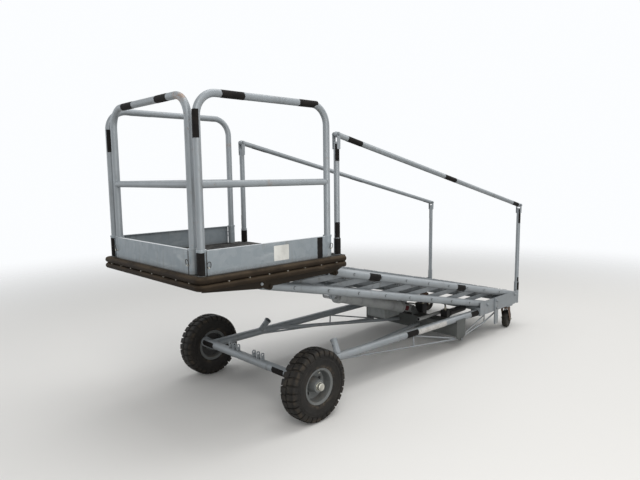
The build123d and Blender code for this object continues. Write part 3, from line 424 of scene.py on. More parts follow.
def rustySteel(name):
    # bare steel gone brown, with bright orange bloom and a few rubbed spots
    look = Look(name)
    cloud = look.noise(16.0, 5, 0.65)
    fine = look.noise(190.0, 4, 0.65)
    base = look.blend(cloud.between(0.38, 0.64), (0.070, 0.034, 0.019), (0.135, 0.100, 0.078))
    base = look.blend(fine.between(0.52, 0.66) * 0.7, base, (0.185, 0.080, 0.032))
    base = look.blend(look.noise(40.0, 3, 0.6).between(0.60, 0.70) * 0.7, base, (0.24, 0.225, 0.20))
    return look.surface(base, 0.72 + fine * 0.2, look.bump(fine + cloud * 0.7, 0.0009, 0.9), metal=0.25)


def brightPlate(name, colour, shine):
    # plated steel with dull clouds and specks of rust
    look = Look(name)
    cloud = look.noise(30.0, 4, 0.6)
    fine = look.noise(300.0, 3, 0.6)
    base = look.blend(cloud.between(0.45, 0.68), colour, [value * 0.62 for value in colour])
    base = look.blend(fine.between(0.62, 0.72) * 0.5, base, (0.20, 0.14, 0.09))
    return look.surface(base, shine + cloud * 0.25, look.bump(fine, 0.0003, 0.4), metal=0.9)


def smoothPaint(name, colour, shine, wear=(0.22, 0.20, 0.18), oily=0.4):
    # sprayed paint with oily runs down its sides, worn spots and dust on top
    look = Look(name)
    cloud = look.noise(8.0, 4, 0.6)
    fine = look.noise(210.0, 3, 0.6)
    run = look.noise(20.0, 4, 0.6, stretch=(1, 1, 0.22))
    up = look.facing()
    base = look.blend(cloud.between(0.4, 0.7), colour, [value * 0.78 for value in colour])
    base = look.blend(run.between(0.52, 0.68) * oily, base, [value * 0.4 for value in colour])
    base = look.blend(look.noise(60.0, 3, 0.7).between(0.68, 0.73) * 0.8, base, wear)
    settled = up.between(0.35, 0.95) * cloud.between(0.38, 0.62) * 0.35
    base = look.blend(settled, base, (0.26, 0.215, 0.165))
    return look.surface(base, shine + cloud * 0.18 + fine * 0.08 + settled * 0.3,
                        look.bump(fine + cloud * 0.5, 0.0004, 0.45))


def tapeFinish(name, dark, pale):
    # cloth-backed tape: fine weave, dust, rubbed lighter in places
    look = Look(name)
    weave = look.noise(900.0, 1, 0.4)
    cloud = look.noise(24.0, 4, 0.6)
    fray = look.noise(70.0, 3, 0.7)
    base = look.blend(cloud.between(0.38, 0.66), dark, pale)
    base = look.blend(fray.between(0.62, 0.72) * 0.5, base, [value * 2.2 for value in pale])
    bump = look.bump(weave * 0.5 + cloud, 0.0005, 0.6)
    return look.surface(base, 0.62 + cloud * 0.25, bump, gloss=0.12)


slotLooks = {                            # colours are linear red, green, blue
    "frame_paint": aluminiumPaint("framePaint", (0.245, 0.268, 0.285), (0.115, 0.108, 0.100)),
    "galvanised": galvanisedSheet("galvanisedSheet"),
    "dark_paint": dullPaint("darkPaint", (0.060, 0.064, 0.062), (0.14, 0.13, 0.115)),
    "skirt_paint": dullPaint("skirtPaint", (0.0120, 0.0088, 0.0055), (0.046, 0.036, 0.026),
                             dust=0.45, gloss=0.14),
    "bumper_rubber": bumperRubber("bumperRubber"),
    "antislip": antislipCoat("antislipCoat", (0.0085, 0.0085, 0.0085), (0.026, 0.0255, 0.025),
                             (0.045, 0.043, 0.040)),
    "tread_grip": antislipCoat("treadGrip", (0.010, 0.0098, 0.0090), (0.046, 0.045, 0.041),
                               (0.062, 0.059, 0.053), sides=(0.235, 0.255, 0.270)),
    "rim_paint": smoothPaint("rimPaint", (0.106, 0.113, 0.112), 0.40, oily=0.3),
    "caster_rubber": tyreRubber("casterRubber", (0, 0, 0)),   # too far off for a groove or bead
    "rusty_steel": rustySteel("rustySteel"),
    "cylinder_paint": smoothPaint("cylinderPaint", (0.282, 0.292, 0.292), 0.36),
    "chrome_rod": brightPlate("chromeRod", (0.62, 0.63, 0.64), 0.10),
    "tank_paint": smoothPaint("tankPaint", (0.250, 0.265, 0.262), 0.42),
    "black_parts": smoothPaint("blackParts", (0.014, 0.0135, 0.013), 0.42, wear=(0.11, 0.10, 0.09)),
    "hose_rubber": smoothPaint("hoseRubber", (0.010, 0.0098, 0.0095), 0.50, wear=(0.06, 0.055, 0.05)),
    "tyre": tyreRubber("tyreRubber", wheelCentre),
}
zincPlate = brightPlate("zincPlate", (0.52, 0.515, 0.46), 0.26)
dullPlate = brightPlate("dullPlate", (0.34, 0.32, 0.29), 0.42)
fittingPlate = brightPlate("fittingPlate", (0.46, 0.43, 0.34), 0.3)
tape = tapeFinish("clothTape", (0.0058, 0.0052, 0.0050), (0.0120, 0.0104, 0.0094))
paleStrip = tapeFinish("paleStrip", (0.46, 0.455, 0.44), (0.36, 0.35, 0.33))
redTag = tapeFinish("redTag", (0.110, 0.022, 0.026), (0.072, 0.018, 0.021))
handlePaint = smoothPaint("handlePaint", (0.40, 0.405, 0.40), 0.34, oily=0.2)
plateWhite = smoothPaint("plateWhite", (0.60, 0.60, 0.57), 0.40, wear=(0.24, 0.22, 0.19), oily=0.12)
nodeSlots = {part["node"]: part["material_slot"] for part in frame["record"]["subparts"]}
for nodeName, part in nodes.items():
    part.data.materials.clear()
    part.data.materials.append(slotLooks[nodeSlots[nodeName]])
print("finishes made:", len(slotLooks))

# Mesh helpers


def dressMesh(mesh, name, body, slot, look=None, replaces=(), sharp=34.0):
    # a piece without a look of its own has its slot's finish
    for face in mesh.polygons:
        face.use_smooth = True
    mesh.set_sharp_from_angle(angle=radians(sharp))
    mesh.materials.clear()
    mesh.materials.append(look or slotLooks[slot])
    piece = bpy.data.objects.new(name, mesh)
    scene.collection.objects.link(piece)
    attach(piece, body)
    if replaces:
        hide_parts(*replaces)


def finishPiece(shape, name, body, slot, look=None, replaces=(), sharp=34.0):
    bmesh.ops.remove_doubles(shape, verts=shape.verts, dist=2e-6)
    bmesh.ops.recalc_face_normals(shape, faces=shape.faces)
    mesh = bpy.data.meshes.new(name)
    shape.to_mesh(mesh)
    shape.free()
    dressMesh(mesh, name, body, slot, look, replaces, sharp)


def newVerts(grown):
    return [item for item in grown["geom"] if isinstance(item, bmesh.types.BMVert)]


def soften(shape, edges, offset, segments=2):
    bmesh.ops.bevel(shape, geom=edges, offset=offset, offset_type="OFFSET", segments=segments,
                    affect="EDGES", profile=0.5, material=-1)


def addBox(shape, matrix, size):
    bmesh.ops.create_cube(shape, size=1.0, matrix=matrix @ Matrix.Diagonal((*size, 1)))


def addCone(shape, matrix, segments, foot, tip, height):
    made = bmesh.ops.create_cone(shape, cap_ends=True, segments=segments, radius1=foot, radius2=tip,
                                 depth=height, matrix=matrix)
    return made["verts"]


def lathe(shape, profile, start, axis, steps=64, closed=True):
    # profile holds (distance along the axis, radius) pairs
    axis = Vector(axis).normalized()
    side = axis.orthogonal().normalized()
    start = Vector(start)
    points = [shape.verts.new(start + axis * along + side * radius) for along, radius in profile]
    ends = points[1:] + points[:1] if closed else points[1:]
    edges = [shape.edges.new(pair) for pair in zip(points, ends)]
    bmesh.ops.spin(shape, geom=points + edges, cent=start, axis=axis, dvec=(0, 0, 0),
                   angle=2 * pi, steps=steps, use_merge=True, use_duplicate=False)


def ringOn(shape, place, axis, radius, wall):
    # a round ring, such as a circlip
    profile = [(wall * sin(pi * step / 4), radius + wall * cos(pi * step / 4)) for step in range(8)]
    lathe(shape, profile, place, axis, steps=24)


def boltHead(shape, place, axis, across, rise, sides=6):
    # head with a rounded crown on a washer; 24 sides give a round button
    place, axis = Vector(place), Vector(axis).normalized()
    turn = axis.to_track_quat("Z", "Y").to_matrix().to_4x4()
    washer = Matrix.Translation(place + axis * rise * 0.12) @ turn
    addCone(shape, washer, 20, across * 0.72, across * 0.68, rise * 0.24)
    head = Matrix.Translation(place + axis * rise * 0.6) @ turn
    made = set(addCone(shape, head, sides, across * 0.56, across * 0.54, rise * 0.8))
    crown = [edge for edge in shape.edges
             if all(v in made and (v.co - place).dot(axis) > rise * 0.9 for v in edge.verts)]
    soften(shape, crown, rise * 0.16)


def weldPath(tubeStart, along, radius, onto, ontoAxis, ontoRadius, lift, count):
    # where a tube's wall meets a bigger one, as points round the joint
    along, ontoAxis = Vector(along).normalized(), Vector(ontoAxis).normalized()
    across = along.cross(ontoAxis).normalized()
    other = along.cross(across)
    flatAlong = along - ontoAxis * along.dot(ontoAxis)
    a = flatAlong.length_squared
    points = []
    for step in range(count):
        angle = 2 * pi * step / count
        rim = (across * cos(angle) + other * sin(angle)) * (radius + lift)
        offset = Vector(tubeStart) - Vector(onto) + rim
        flatOffset = offset - ontoAxis * offset.dot(ontoAxis)
        b = 2 * flatOffset.dot(flatAlong)
        c = flatOffset.length_squared - (ontoRadius + lift) ** 2
        reach = (-b + max(b * b - 4 * a * c, 0) ** 0.5) / (2 * a)
        points.append(Vector(onto) + offset + along * reach)
    return points


def bead(paths, name, body, slot, thickness, ripple=0.3):
    # closed round lines: weld beads with a ripple, or plain wire
    curve = bpy.data.curves.new(name, "CURVE")
    curve.dimensions = "3D"
    curve.bevel_depth = thickness
    curve.bevel_resolution = 2
    for path in paths:
        line = curve.splines.new("POLY")
        line.points.add(len(path) - 1)
        for index, point in enumerate(path):
            wobble = random.uniform(-0.3, 0.3)
            line.points[index].co = (*point, 1)
            line.points[index].radius = 1.0 - ripple * (0.8 - index % 2) + ripple * wobble
        line.use_cyclic_u = True
    holder = bpy.data.objects.new(name + "Line", curve)
    mesh = bpy.data.meshes.new_from_object(holder)
    bpy.data.objects.remove(holder)
    dressMesh(mesh, name, body, slot, sharp=60)


# Main wheels

wheelSizes = {
    "lugsPerRow": 30,
    "lugTurn": 0.076,                    # half of a lug's angle, radians
    "lugTaper": 4.0,                     # a lug widens towards its root at this rate
    "lugWidest": 1.12,
    "lugStep": 0.036,                    # how far a lug's inner end steps round, radians
    "stepFrom": 0.034,                   # the step starts this far from the tyre's middle plane
    "stepOver": 0.012,                   # and is complete this much further in
    "lugEdge": 0.0016,
    "lugPhase": 0.35,                    # where the first lug stands, in pitches
    "rowShift": 0.5,
    "holes": 5,
    "holeCircle": 0.068,
    "holeRadius": 0.0138,
    "dishDepth": 0.018,                  # the drilled disc lies this far inboard
    "drillDepth": 0.03,
    "capRadius": 0.025,
    "stemTurn": 84,                      # degrees
    "stemOut": 0.012,
    "stemCircle": 0.0975,
}

wheelProfiles = {                        # distance along the axle, or the stem, and radius, metres
    "halfTyre": [
        (0.0487, 0.1022), (0.0490, 0.1184), (0.0548, 0.1190), (0.0590, 0.1235), (0.0606, 0.1290),
        (0.0600, 0.1312), (0.0612, 0.1330), (0.0634, 0.1450), (0.0647, 0.1580), (0.0652, 0.1700),
        (0.0664, 0.1716), (0.0664, 0.1740), (0.0650, 0.1756), (0.0646, 0.1850), (0.0660, 0.1868),
        (0.0658, 0.1892), (0.0640, 0.1906), (0.0620, 0.1990), (0.0575, 0.2115), (0.0470, 0.2195),
        (0.0300, 0.2235), (0.0120, 0.2245),
    ],
    "lug": [
        (0.0035, 0.2190), (0.0035, 0.2338), (0.0060, 0.2348), (0.0300, 0.2346), (0.0470, 0.2332),
        (0.0575, 0.2282), (0.0632, 0.2195), (0.0662, 0.2080), (0.0672, 0.1960), (0.0662, 0.1925),
        (0.0600, 0.1950), (0.0400, 0.2150),
    ],
    "rim": [
        (0.0487, 0.1016), (0.0490, 0.1165), (0.0510, 0.1180), (0.0535, 0.1186), (0.0556, 0.1178),
        (0.0565, 0.1160), (0.0560, 0.1140), (0.0540, 0.1124), (0.0526, 0.1096), (0.0515, 0.1040),
        (0.0490, 0.1016), (0.0330, 0.0990), (0.0050, 0.0976), (-0.0080, 0.0945), (-0.0125, 0.0880),
        (-0.0150, 0.0800), (-0.0155, 0.0590), (-0.0145, 0.0530), (-0.0115, 0.0500), (-0.0050, 0.0484),
        (0.0480, 0.0408), (0.0505, 0.0398), (0.0520, 0.0375), (0.0520, 0.0130), (-0.0655, 0.0130),
        (-0.0655, 0.0340), (-0.0630, 0.0370), (-0.0280, 0.0430), (-0.0240, 0.0480), (-0.0220, 0.0720),
        (-0.0200, 0.0860), (-0.0185, 0.0930), (-0.0450, 0.0965), (-0.0510, 0.0990), (-0.0525, 0.1090),
        (-0.0555, 0.1130), (-0.0565, 0.1160), (-0.0550, 0.1180), (-0.0510, 0.1180), (-0.0487, 0.1160),
        (-0.0487, 0.1016),
    ],
    "holeShade": [(-0.0222, 0.0495), (-0.0210, 0.0870), (-0.0245, 0.0885), (-0.0258, 0.0495)],
    "stem": [
        (0.0, 0.0), (0.0, 0.0075), (0.004, 0.0070), (0.010, 0.0045), (0.022, 0.0038),
        (0.0225, 0.0045), (0.034, 0.0045), (0.036, 0.0036), (0.0362, 0.0),
    ],
}


def lugMesh():
    # one lug, swept a little round the axle either way, stepped at its inner end
    lug = bmesh.new()
    face = lug.faces.new([lug.verts.new((0, y, r)) for y, r in wheelProfiles["lug"]])
    far = set(newVerts(bmesh.ops.extrude_face_region(lug, geom=[face])))
    for vert in lug.verts:
        step = min(max((wheelSizes["stepFrom"] - vert.co.y) / wheelSizes["stepOver"], 0), 1)
        taper = 1.0 + (wheelCentre[2] - vert.co.z) * wheelSizes["lugTaper"]
        turn = wheelSizes["lugTurn"] * min(taper, wheelSizes["lugWidest"]) * (1 if vert in far else -1)
        turn += wheelSizes["lugStep"] * step
        vert.co = Matrix.Rotation(turn, 3, "Y") @ vert.co
    soften(lug, [edge for edge in lug.edges if min(v.co.xz.length for v in edge.verts) > 0.2],
           wheelSizes["lugEdge"])
    bmesh.ops.recalc_face_normals(lug, faces=lug.faces)
    mesh = bpy.data.meshes.new("lug")
    lug.to_mesh(mesh)
    lug.free()
    return mesh


def makeTyre(side, centre):
    half = wheelProfiles["halfTyre"]
    shape = bmesh.new()
    lathe(shape, half + [(-y, r) for y, r in reversed(half)], centre, (0, 1, 0), steps=132)
    bmesh.ops.recalc_face_normals(shape, faces=shape.faces)
    lug = lugMesh()
    pitch = 2 * pi / wheelSizes["lugsPerRow"]
    for row in (0, 1):                   # the second row is turned about and half a pitch on
        flip = Matrix.Rotation(pi * row, 4, "Z")
        for index in range(wheelSizes["lugsPerRow"]):
            before = len(shape.verts)
            shape.from_mesh(lug)
            shape.verts.ensure_lookup_table()
            place = index + row * wheelSizes["rowShift"] + wheelSizes["lugPhase"]
            turn = Matrix.Rotation(pi - pitch * place, 4, "Y")
            bmesh.ops.transform(shape, verts=shape.verts[before:],
                                matrix=Matrix.Translation(centre) @ turn @ flip)
    bpy.data.meshes.remove(lug)
    mesh = bpy.data.meshes.new("tyre")
    shape.to_mesh(mesh)
    shape.free()
    dressMesh(mesh, f"tyreLugged_{side}", f"wheel_{side}", "tyre", replaces=(f"tyre_{side}",), sharp=38)


def workObject(shape, name):
    # an object for a modifier to work on, removed afterwards
    mesh = bpy.data.meshes.new(name)
    shape.to_mesh(mesh)
    shape.free()
    item = bpy.data.objects.new(name, mesh)
    scene.collection.objects.link(item)
    return item


def makeRim(side, centre, outward):
    shape = bmesh.new()
    lathe(shape, wheelProfiles["rim"], centre, outward, steps=112)
    bmesh.ops.recalc_face_normals(shape, faces=shape.faces)
    drill = bmesh.new()
    for index in range(wheelSizes["holes"]):
        angle = 2 * pi * index / wheelSizes["holes"] + pi / 2
        at = centre + Vector((cos(angle), 0, sin(angle))) * wheelSizes["holeCircle"]
        at -= outward * wheelSizes["dishDepth"]
        addCone(drill, Matrix.Translation(at) @ Matrix.Rotation(pi / 2, 4, "X"), 28,
                wheelSizes["holeRadius"], wheelSizes["holeRadius"], wheelSizes["drillDepth"])
    blank, tool = workObject(shape, "rimBlank"), workObject(drill, "rimDrill")
    cut = blank.modifiers.new("holes", "BOOLEAN")
    cut.operation, cut.solver, cut.object = "DIFFERENCE", "EXACT", tool
    bpy.context.view_layer.update()
    drilled = blank.evaluated_get(bpy.context.evaluated_depsgraph_get())
    mesh = bpy.data.meshes.new_from_object(drilled)
    for item in (blank, tool):
        bpy.data.objects.remove(item)
    dressMesh(mesh, f"rimDished_{side}", f"wheel_{side}", "rim_paint", replaces=(f"rim_{side}",), sharp=32)

    holeShade = bmesh.new()                # dark ring behind the holes, painted shade that keeps them dark
    lathe(holeShade, wheelProfiles["holeShade"], centre, outward)
    finishPiece(holeShade, f"rimHoleShade_{side}", f"wheel_{side}", "rim_paint", slotLooks["black_parts"])

    cap = bmesh.new()
    radius = wheelSizes["capRadius"]
    lathe(cap, [(0.0500, 0.0), (0.0500, radius + 0.003), (0.0535, radius + 0.003), (0.0540, radius),
                (0.0725, radius), (0.0748, radius - 0.0014), (0.0759, radius - 0.0036),
                (0.0754, radius - 0.0062), (0.0744, 0.0100), (0.0740, 0.0)],
          centre, outward, steps=48, closed=False)
    finishPiece(cap, f"hubCap_{side}", f"wheel_{side}", "rim_paint", zincPlate)

    stem = bmesh.new()
    angle = radians(wheelSizes["stemTurn"])
    away = Vector((-cos(angle), 0, sin(angle)))
    foot = centre + away * wheelSizes["stemCircle"] + outward * wheelSizes["stemOut"]
    lathe(stem, wheelProfiles["stem"], foot, outward * 0.85 - away * 0.35, steps=20, closed=False)
    finishPiece(stem, f"valveStem_{side}", f"wheel_{side}", "rim_paint", zincPlate)


for side, sign in (("left", 1), ("right", -1)):
    centre = Vector((wheelCentre[0], wheelCentre[1] * sign, wheelCentre[2]))
    makeTyre(side, centre)
    makeRim(side, centre, Vector((0, sign, 0)))
print("wheels made")

# Black tape, stuck part of the way round the tubes, a blank pale strip and a blank red tag

upperFoot, lowerFoot, railFoot = (-1.80185, 0.335), (-1.24785, 0.327), (-1.86385, 1.23702)
cylinderFoot, cylinderUp = Vector((-0.75885, 0, 0.290)), Vector((0.96183, 0, 0.27365))
loweredRise = 0.222242                   # the stair's slope at rest
out, up, ahead = (0, 1, 0), (0, 0, 1), (1, 0, 0)
slopeUp = (-0.21695, 0, 0.97618)


def onSlope(foot, x, y):
    # point over this X on a line that rises from its foot at the lowered slope
    return (x, y, foot[1] + (x - foot[0]) * loweredRise)


def onLongTube(x):
    share = (1.16315 - x) / 2.282        # from the axle beam to the tube's rear end
    return (x, 0.437 + share * 0.064, 0.288 - share * 0.020)


tapeSizes = {
    "thickness": 0.0007,
    "sunk": 0.0003,                      # how deep the tape's back reaches into the tube
    "torn": 0.0012,                      # how far its ends are off square
    "hoop": 0.0211,                      # the tubes' radii, metres
    "rail": 0.01905,
    "stair": 0.03015,
    "socket": 0.0254,
    "sleeve": 0.02305,
    "cylinder": 0.0331,
}

tubes = {
    # a point on its axis by X, Y, height or reach, radius, body, where its 0 and 90 degrees lie
    "hoopTop": (lambda x: (x, 0.541, 1.9943), "hoop", "platform", out, up),
    "hoopFront": (lambda y: (1.8239, y, 1.9943), "hoop", "platform", ahead, up),
    "hoopPostLeft": (lambda z: (1.8239, 0.541, z), "hoop", "platform", ahead, out),
    "hoopPostRight": (lambda z: (1.8239, -0.541, z), "hoop", "platform", ahead, out),
    "hoopSocket": (lambda z: (1.8239, 0.541, z), "socket", "platform", ahead, out),
    "frontPost": (lambda z: (0.7699, 0.523, z), "rail", "platform", ahead, out),
    "frontSleeveLeft": (lambda z: (0.7699, 0.523, z), "sleeve", "platform", ahead, out),
    "frontSleeveRight": (lambda z: (0.7699, -0.523, z), "sleeve", "platform", ahead, out),
    "rearPost": (lambda z: (-1.8638, 0.523, z), "rail", "base", ahead, out),
    "rearSleeve": (lambda z: (-1.8638, 0.523, z), "sleeve", "base", ahead, out),
    "upperTube": (lambda x: onSlope(upperFoot, x, 0.497), "stair", "upper_stair_tubes", out, slopeUp),
    "handrail": (lambda x: onSlope(railFoot, x, 0.523), "rail", "handrail", out, slopeUp),
    "longTube": (onLongTube, "stair", "base", out, up),
    "axleBeam": (lambda y: (1.1632, y, 0.288), "stair", "base", ahead, up),
    "cylinder": (lambda reach: cylinderFoot + cylinderUp * reach, "cylinder", "cylinder", out,
                 (-0.27365, 0, 0.96183)),
}


def tapeBand(name, tube, first, last, sweep, sign=1, look=tape, slot="black_parts"):
    # stuck on from one angle to another about the tube; a sign of -1 puts it on the right side
    path, radius, body, zero, quarter = tubes[tube]
    flip = Matrix.Diagonal((1, sign, 1))
    start, end, zero, quarter = (flip @ Vector(value) for value in (path(first), path(last), zero, quarter))
    if body not in frame["bodies"]:
        body += "_left" if sign > 0 else "_right"
    radius, wall, sunk = tapeSizes[radius], tapeSizes["thickness"], tapeSizes["sunk"]
    low, high = (radians(value) for value in sweep)
    along = end - start
    axis = along.normalized()
    edge = zero * cos(low) + quarter * sin(low)
    shape = bmesh.new()
    corners = [shape.verts.new(start + along * share + edge * reach)
               for share, reach in ((0, radius - sunk), (0, radius + wall),
                                    (1, radius + wall), (1, radius - sunk))]
    face = shape.faces.new(corners)
    turning = 1 if zero.cross(quarter).dot(axis) > 0 else -1
    bmesh.ops.spin(shape, geom=corners + list(face.edges) + [face], cent=start, axis=axis * turning,
                   dvec=(0, 0, 0), angle=high - low, steps=max(8, int((high - low) * 8)), use_duplicate=False)
    phase = random.uniform(0, 6)
    for vert in shape.verts:             # a hand-torn end is never quite square
        away = vert.co - start - axis * (vert.co - start).dot(axis)
        wave = 3.0 * away.dot(zero) / radius + 5.0 * away.dot(quarter) / radius
        vert.co += axis * tapeSizes["torn"] * sin(wave + phase)
    finishPiece(shape, name, body, slot, look, sharp=50)


for name, tube, first, last, sweep in (
    ("hoopTopFrontTape", "hoopTop", 1.523, 1.672, (-100, 74)),
    ("hoopTopRearTape", "hoopTop", 0.967, 1.117, (-100, 74)),
    ("frontPostHighTape", "frontPost", 1.649, 1.760, (18, 190)),
    ("frontPostLowTape", "frontPost", 1.1435, 1.247, (0, 190)),
    ("rearPostHighTape", "rearPost", 1.056, 1.199, (25, 195)),
    ("rearPostLowTape", "rearPost", 0.458, 0.503, (38, 200)),
    ("rearSleeveTape", "rearSleeve", 0.372, 0.452, (38, 200)),
    ("frontSocketTape", "hoopSocket", 1.036, 1.158, (-62, 100)),
    ("stairTapeFront", "upperTube", 0.3125, 0.436, (-112, 50)),
    ("stairTapeRear", "upperTube", -0.877, -0.743, (-112, 50)),
    ("railTapeFront", "handrail", 0.527, 0.667, (-120, 52)),
    ("railTapeMiddle", "handrail", -0.671, -0.503, (-120, 52)),
    ("railTapeRear", "handrail", -1.826, -1.715, (-120, 52)),
    ("longTubeTapeFront", "longTube", -0.199, -0.055, (-112, 58)),
    ("longTubeTapeRear", "longTube", -1.112, -0.989, (-112, 58)),
):
    tapeBand(f"{name}_left", tube, first, last, sweep)
    tapeBand(f"{name}_right", tube, first, last, sweep, -1)
for name, tube, first, last, sweep in (
    ("hoopPostTape_left", "hoopPostLeft", 1.756, 1.902, (-78, 96)),
    ("hoopPostTape_right", "hoopPostRight", 1.726, 1.872, (22, 160)),
    ("frontSleeveTape_left", "frontSleeveLeft", 1.033, 1.139, (0, 190)),
    ("frontSleeveTape_right", "frontSleeveRight", 1.033, 1.125, (-90, 150)),
    ("beamRightTape", "axleBeam", -0.519, -0.383, (-130, 40)),
    ("beamLeftTape", "axleBeam", 0.318, 0.436, (-130, 40)),
    ("hoopFrontRightTape", "hoopFront", -0.300, -0.158, (-100, 74)),
    ("hoopFrontLeftTape", "hoopFront", 0.137, 0.265, (-100, 74)),
):
    tapeBand(name, tube, first, last, sweep)
tapeBand("paleStrip", "longTube", -0.593, -0.203, (-58, 42), look=paleStrip, slot="frame_paint")
print("tape stuck on")

# Bumper strip round three sides of the deck, with its buttons

bumperSizes = {
    "rear": 0.7709,                      # metres
    "front": 1.8499,                     # deck's front edge
    "half": 0.571,
    "corner": 0.015,                     # deck's corner radius
    "height": 0.99333,
    "lobe": 0.0175,
    "back": 0.037,                       # half of its flat back's height
    "web": (0.008, 0.002),               # what joins the lobes: depth, half of its height
    "buttonPitch": 0.14,
    "sideButtons": 7,
    "buttonsFrom": 0.85,
    "frontButtons": 8,
    "button": [(0.006, 0.0), (0.006, 0.0022), (0.0235, 0.0022), (0.0242, 0.0046), (0.0262, 0.0043),
               (0.0276, 0.0028), (0.0280, 0.0)],
}


def runOn(shape, face, step):
    grown = bmesh.ops.extrude_face_region(shape, geom=[face])
    bmesh.ops.translate(shape, verts=newVerts(grown), vec=step)
    return next(item for item in grown["geom"] if isinstance(item, bmesh.types.BMFace))


def turnOn(shape, face, centre, angle):
    swept = bmesh.ops.spin(shape, geom=list(face.verts) + list(face.edges) + [face], cent=centre,
                           axis=(0, 0, 1), dvec=(0, 0, 0), angle=angle, steps=10, use_duplicate=False)
    return next(item for item in swept["geom_last"] if isinstance(item, bmesh.types.BMFace))


def makeBumper():
    rear, front, half, corner, height, lobe = (
        bumperSizes[key] for key in ("rear", "front", "half", "corner", "height", "lobe"))
    depth, web = bumperSizes["web"]
    middle = lobe + web
    outline = [(0, -bumperSizes["back"])]
    for rise in (-middle, middle):
        for step in range(11):
            angle = pi * (step / 10 - 0.5)
            outline.append((middle + lobe * cos(angle), rise + lobe * sin(angle)))
        if rise < 0:
            outline += [(depth, -web), (depth, web)]
    outline.append((0, bumperSizes["back"]))
    shape = bmesh.new()
    ring = [shape.verts.new((rear, half + away, height + rise)) for away, rise in outline]
    face = shape.faces.new(ring)
    bend = front - corner
    face = runOn(shape, face, (bend - rear, 0, 0))
    face = turnOn(shape, face, (bend, half - corner, 0), -pi / 2)
    face = runOn(shape, face, (0, -2 * (half - corner), 0))
    face = turnOn(shape, face, (bend, corner - half, 0), -pi / 2)
    runOn(shape, face, (rear - bend, 0, 0))
    finishPiece(shape, "bumperStrip", "platform", "bumper_rubber", replaces=("bumper",), sharp=40)

    buttons = bmesh.new()
    pitch, count = bumperSizes["buttonPitch"], bumperSizes["frontButtons"]
    places = [((bumperSizes["buttonsFrom"] + pitch * index, half * sign, height), (0, sign, 0))
              for index in range(bumperSizes["sideButtons"]) for sign in (1, -1)]
    places += [((front, pitch * (index - (count - 1) / 2), height), (1, 0, 0)) for index in range(count)]
    for place, axis in places:
        lathe(buttons, bumperSizes["button"], place, axis, steps=14, closed=False)
    finishPiece(buttons, "bumperButtons", "platform", "bumper_rubber", dullPlate)


makeBumper()
print("bumper made")

# Serrated grip plates on the treads, and circlips on the pins that carry them

gripSizes = {
    "run": 0.330,                        # metres, front to back
    "half": 0.449,
    "sheet": 0.0022,
    "edge": 0.0008,
    "pitch": 0.0140,
    "rows": (0.022, 0.20, 0.40, 0.60, 0.80, 0.978),   # shares of the run
    "stagger": 0.35,                     # every second row's shift, in pitches
    "rise": (0.0060, 0.0110),
    "noseRise": (0.0035, 0.0060),        # the last row, under the next tread
    "tooth": (0.0064, 0.0018),           # radius at the foot and the tip
    "wornAway": 0.04,                    # share of teeth that are missing
}


def makeGrip(name, node, body):
    low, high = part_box(node)
    start, level = low[0], high[2]
    run, half, sheet, pitch = (gripSizes[key] for key in ("run", "half", "sheet", "pitch"))
    shape = bmesh.new()
    addBox(shape, Matrix.Translation((start + run / 2, 0, level + sheet / 2)), (run - 0.006, half * 2, sheet))
    rims = [edge for edge in shape.edges if all(v.co.z > level + 0.001 for v in edge.verts)]
    soften(shape, rims, gripSizes["edge"])
    for row, share in enumerate(gripSizes["rows"]):
        heights = gripSizes["noseRise" if share > 0.9 else "rise"]
        for index in range(int(half * 2 / pitch)):
            rise = random.uniform(*heights)
            across = (index + 0.5 + (row % 2) * gripSizes["stagger"]) * pitch - half
            if random.random() < gripSizes["wornAway"] or abs(across) > half - 0.004:
                continue
            at = Matrix.Translation((start + run * share, across, level + sheet + rise / 2 - 0.0004))
            addCone(shape, at @ Matrix.Rotation(pi / 4, 4, "Z"), 4, *gripSizes["tooth"], rise)
    finishPiece(shape, name, body, "tread_grip", sharp=25)


circlipSizes = {
    "treadPitch": (0.30057, 0.0668),     # from tread to tread, ahead and up
    "out": 0.5288,
    "radius": 0.0098,
    "wall": 0.0013,
}

makeGrip("gripPlate_0", "bottom_step", "base")
for number in range(1, 9):
    makeGrip(f"gripPlate_{number}", f"tread_{number}", f"tread_{number}")
    clips = bmesh.new()
    along, rise = (value * number for value in circlipSizes["treadPitch"])
    for foot in (upperFoot, lowerFoot):
        for sign in (1, -1):
            place = Vector((foot[0] + along, circlipSizes["out"] * sign, foot[1] + rise))
            ringOn(clips, place, out, circlipSizes["radius"], circlipSizes["wall"])
    finishPiece(clips, f"pinClips_{number}", f"tread_{number}", "dark_paint", slotLooks["black_parts"])
print("grip plates made")

# Clip pins with wire loops through the hoops' sockets

pinSizes = {
    "radius": 0.0050,
    "reach": 0.013,
    "wire": 0.0022,
    "loopWidth": 0.024,
    "loopHeight": 0.033,
    "loopLean": 0.004,
    "loop": ((-0.45, 0.0), (-0.85, 0.12), (-1.0, 0.35), (-1.0, 0.62), (-0.82, 0.84), (-0.45, 0.97),
             (0.0, 1.0), (0.45, 0.97), (0.82, 0.84), (1.0, 0.62), (1.0, 0.35), (0.85, 0.12), (0.45, 0.0)),
}


def clipPin(name, place, axis):
    place, axis = Vector(place), Vector(axis)
    side = axis.cross(Vector(up))
    radius, reach = pinSizes["radius"], pinSizes["reach"]
    pin = bmesh.new()
    lathe(pin, [(-0.004, 0.0), (-0.004, radius), (reach - 0.001, radius), (reach, radius - 0.001),
                (reach, 0.0)], place, axis, steps=20, closed=False)
    finishPiece(pin, f"{name}Pin", "platform", "rusty_steel", zincPlate)
    eye = place + axis * (reach - 0.003)
    half, height, lean = pinSizes["loopWidth"] / 2, pinSizes["loopHeight"], pinSizes["loopLean"]
    path = [eye + side * half * across + Vector((0, 0, height * rise)) + axis * lean * rise
            for across, rise in pinSizes["loop"]]
    bead([path], f"{name}Loop", "platform", "black_parts", pinSizes["wire"], ripple=0.0)


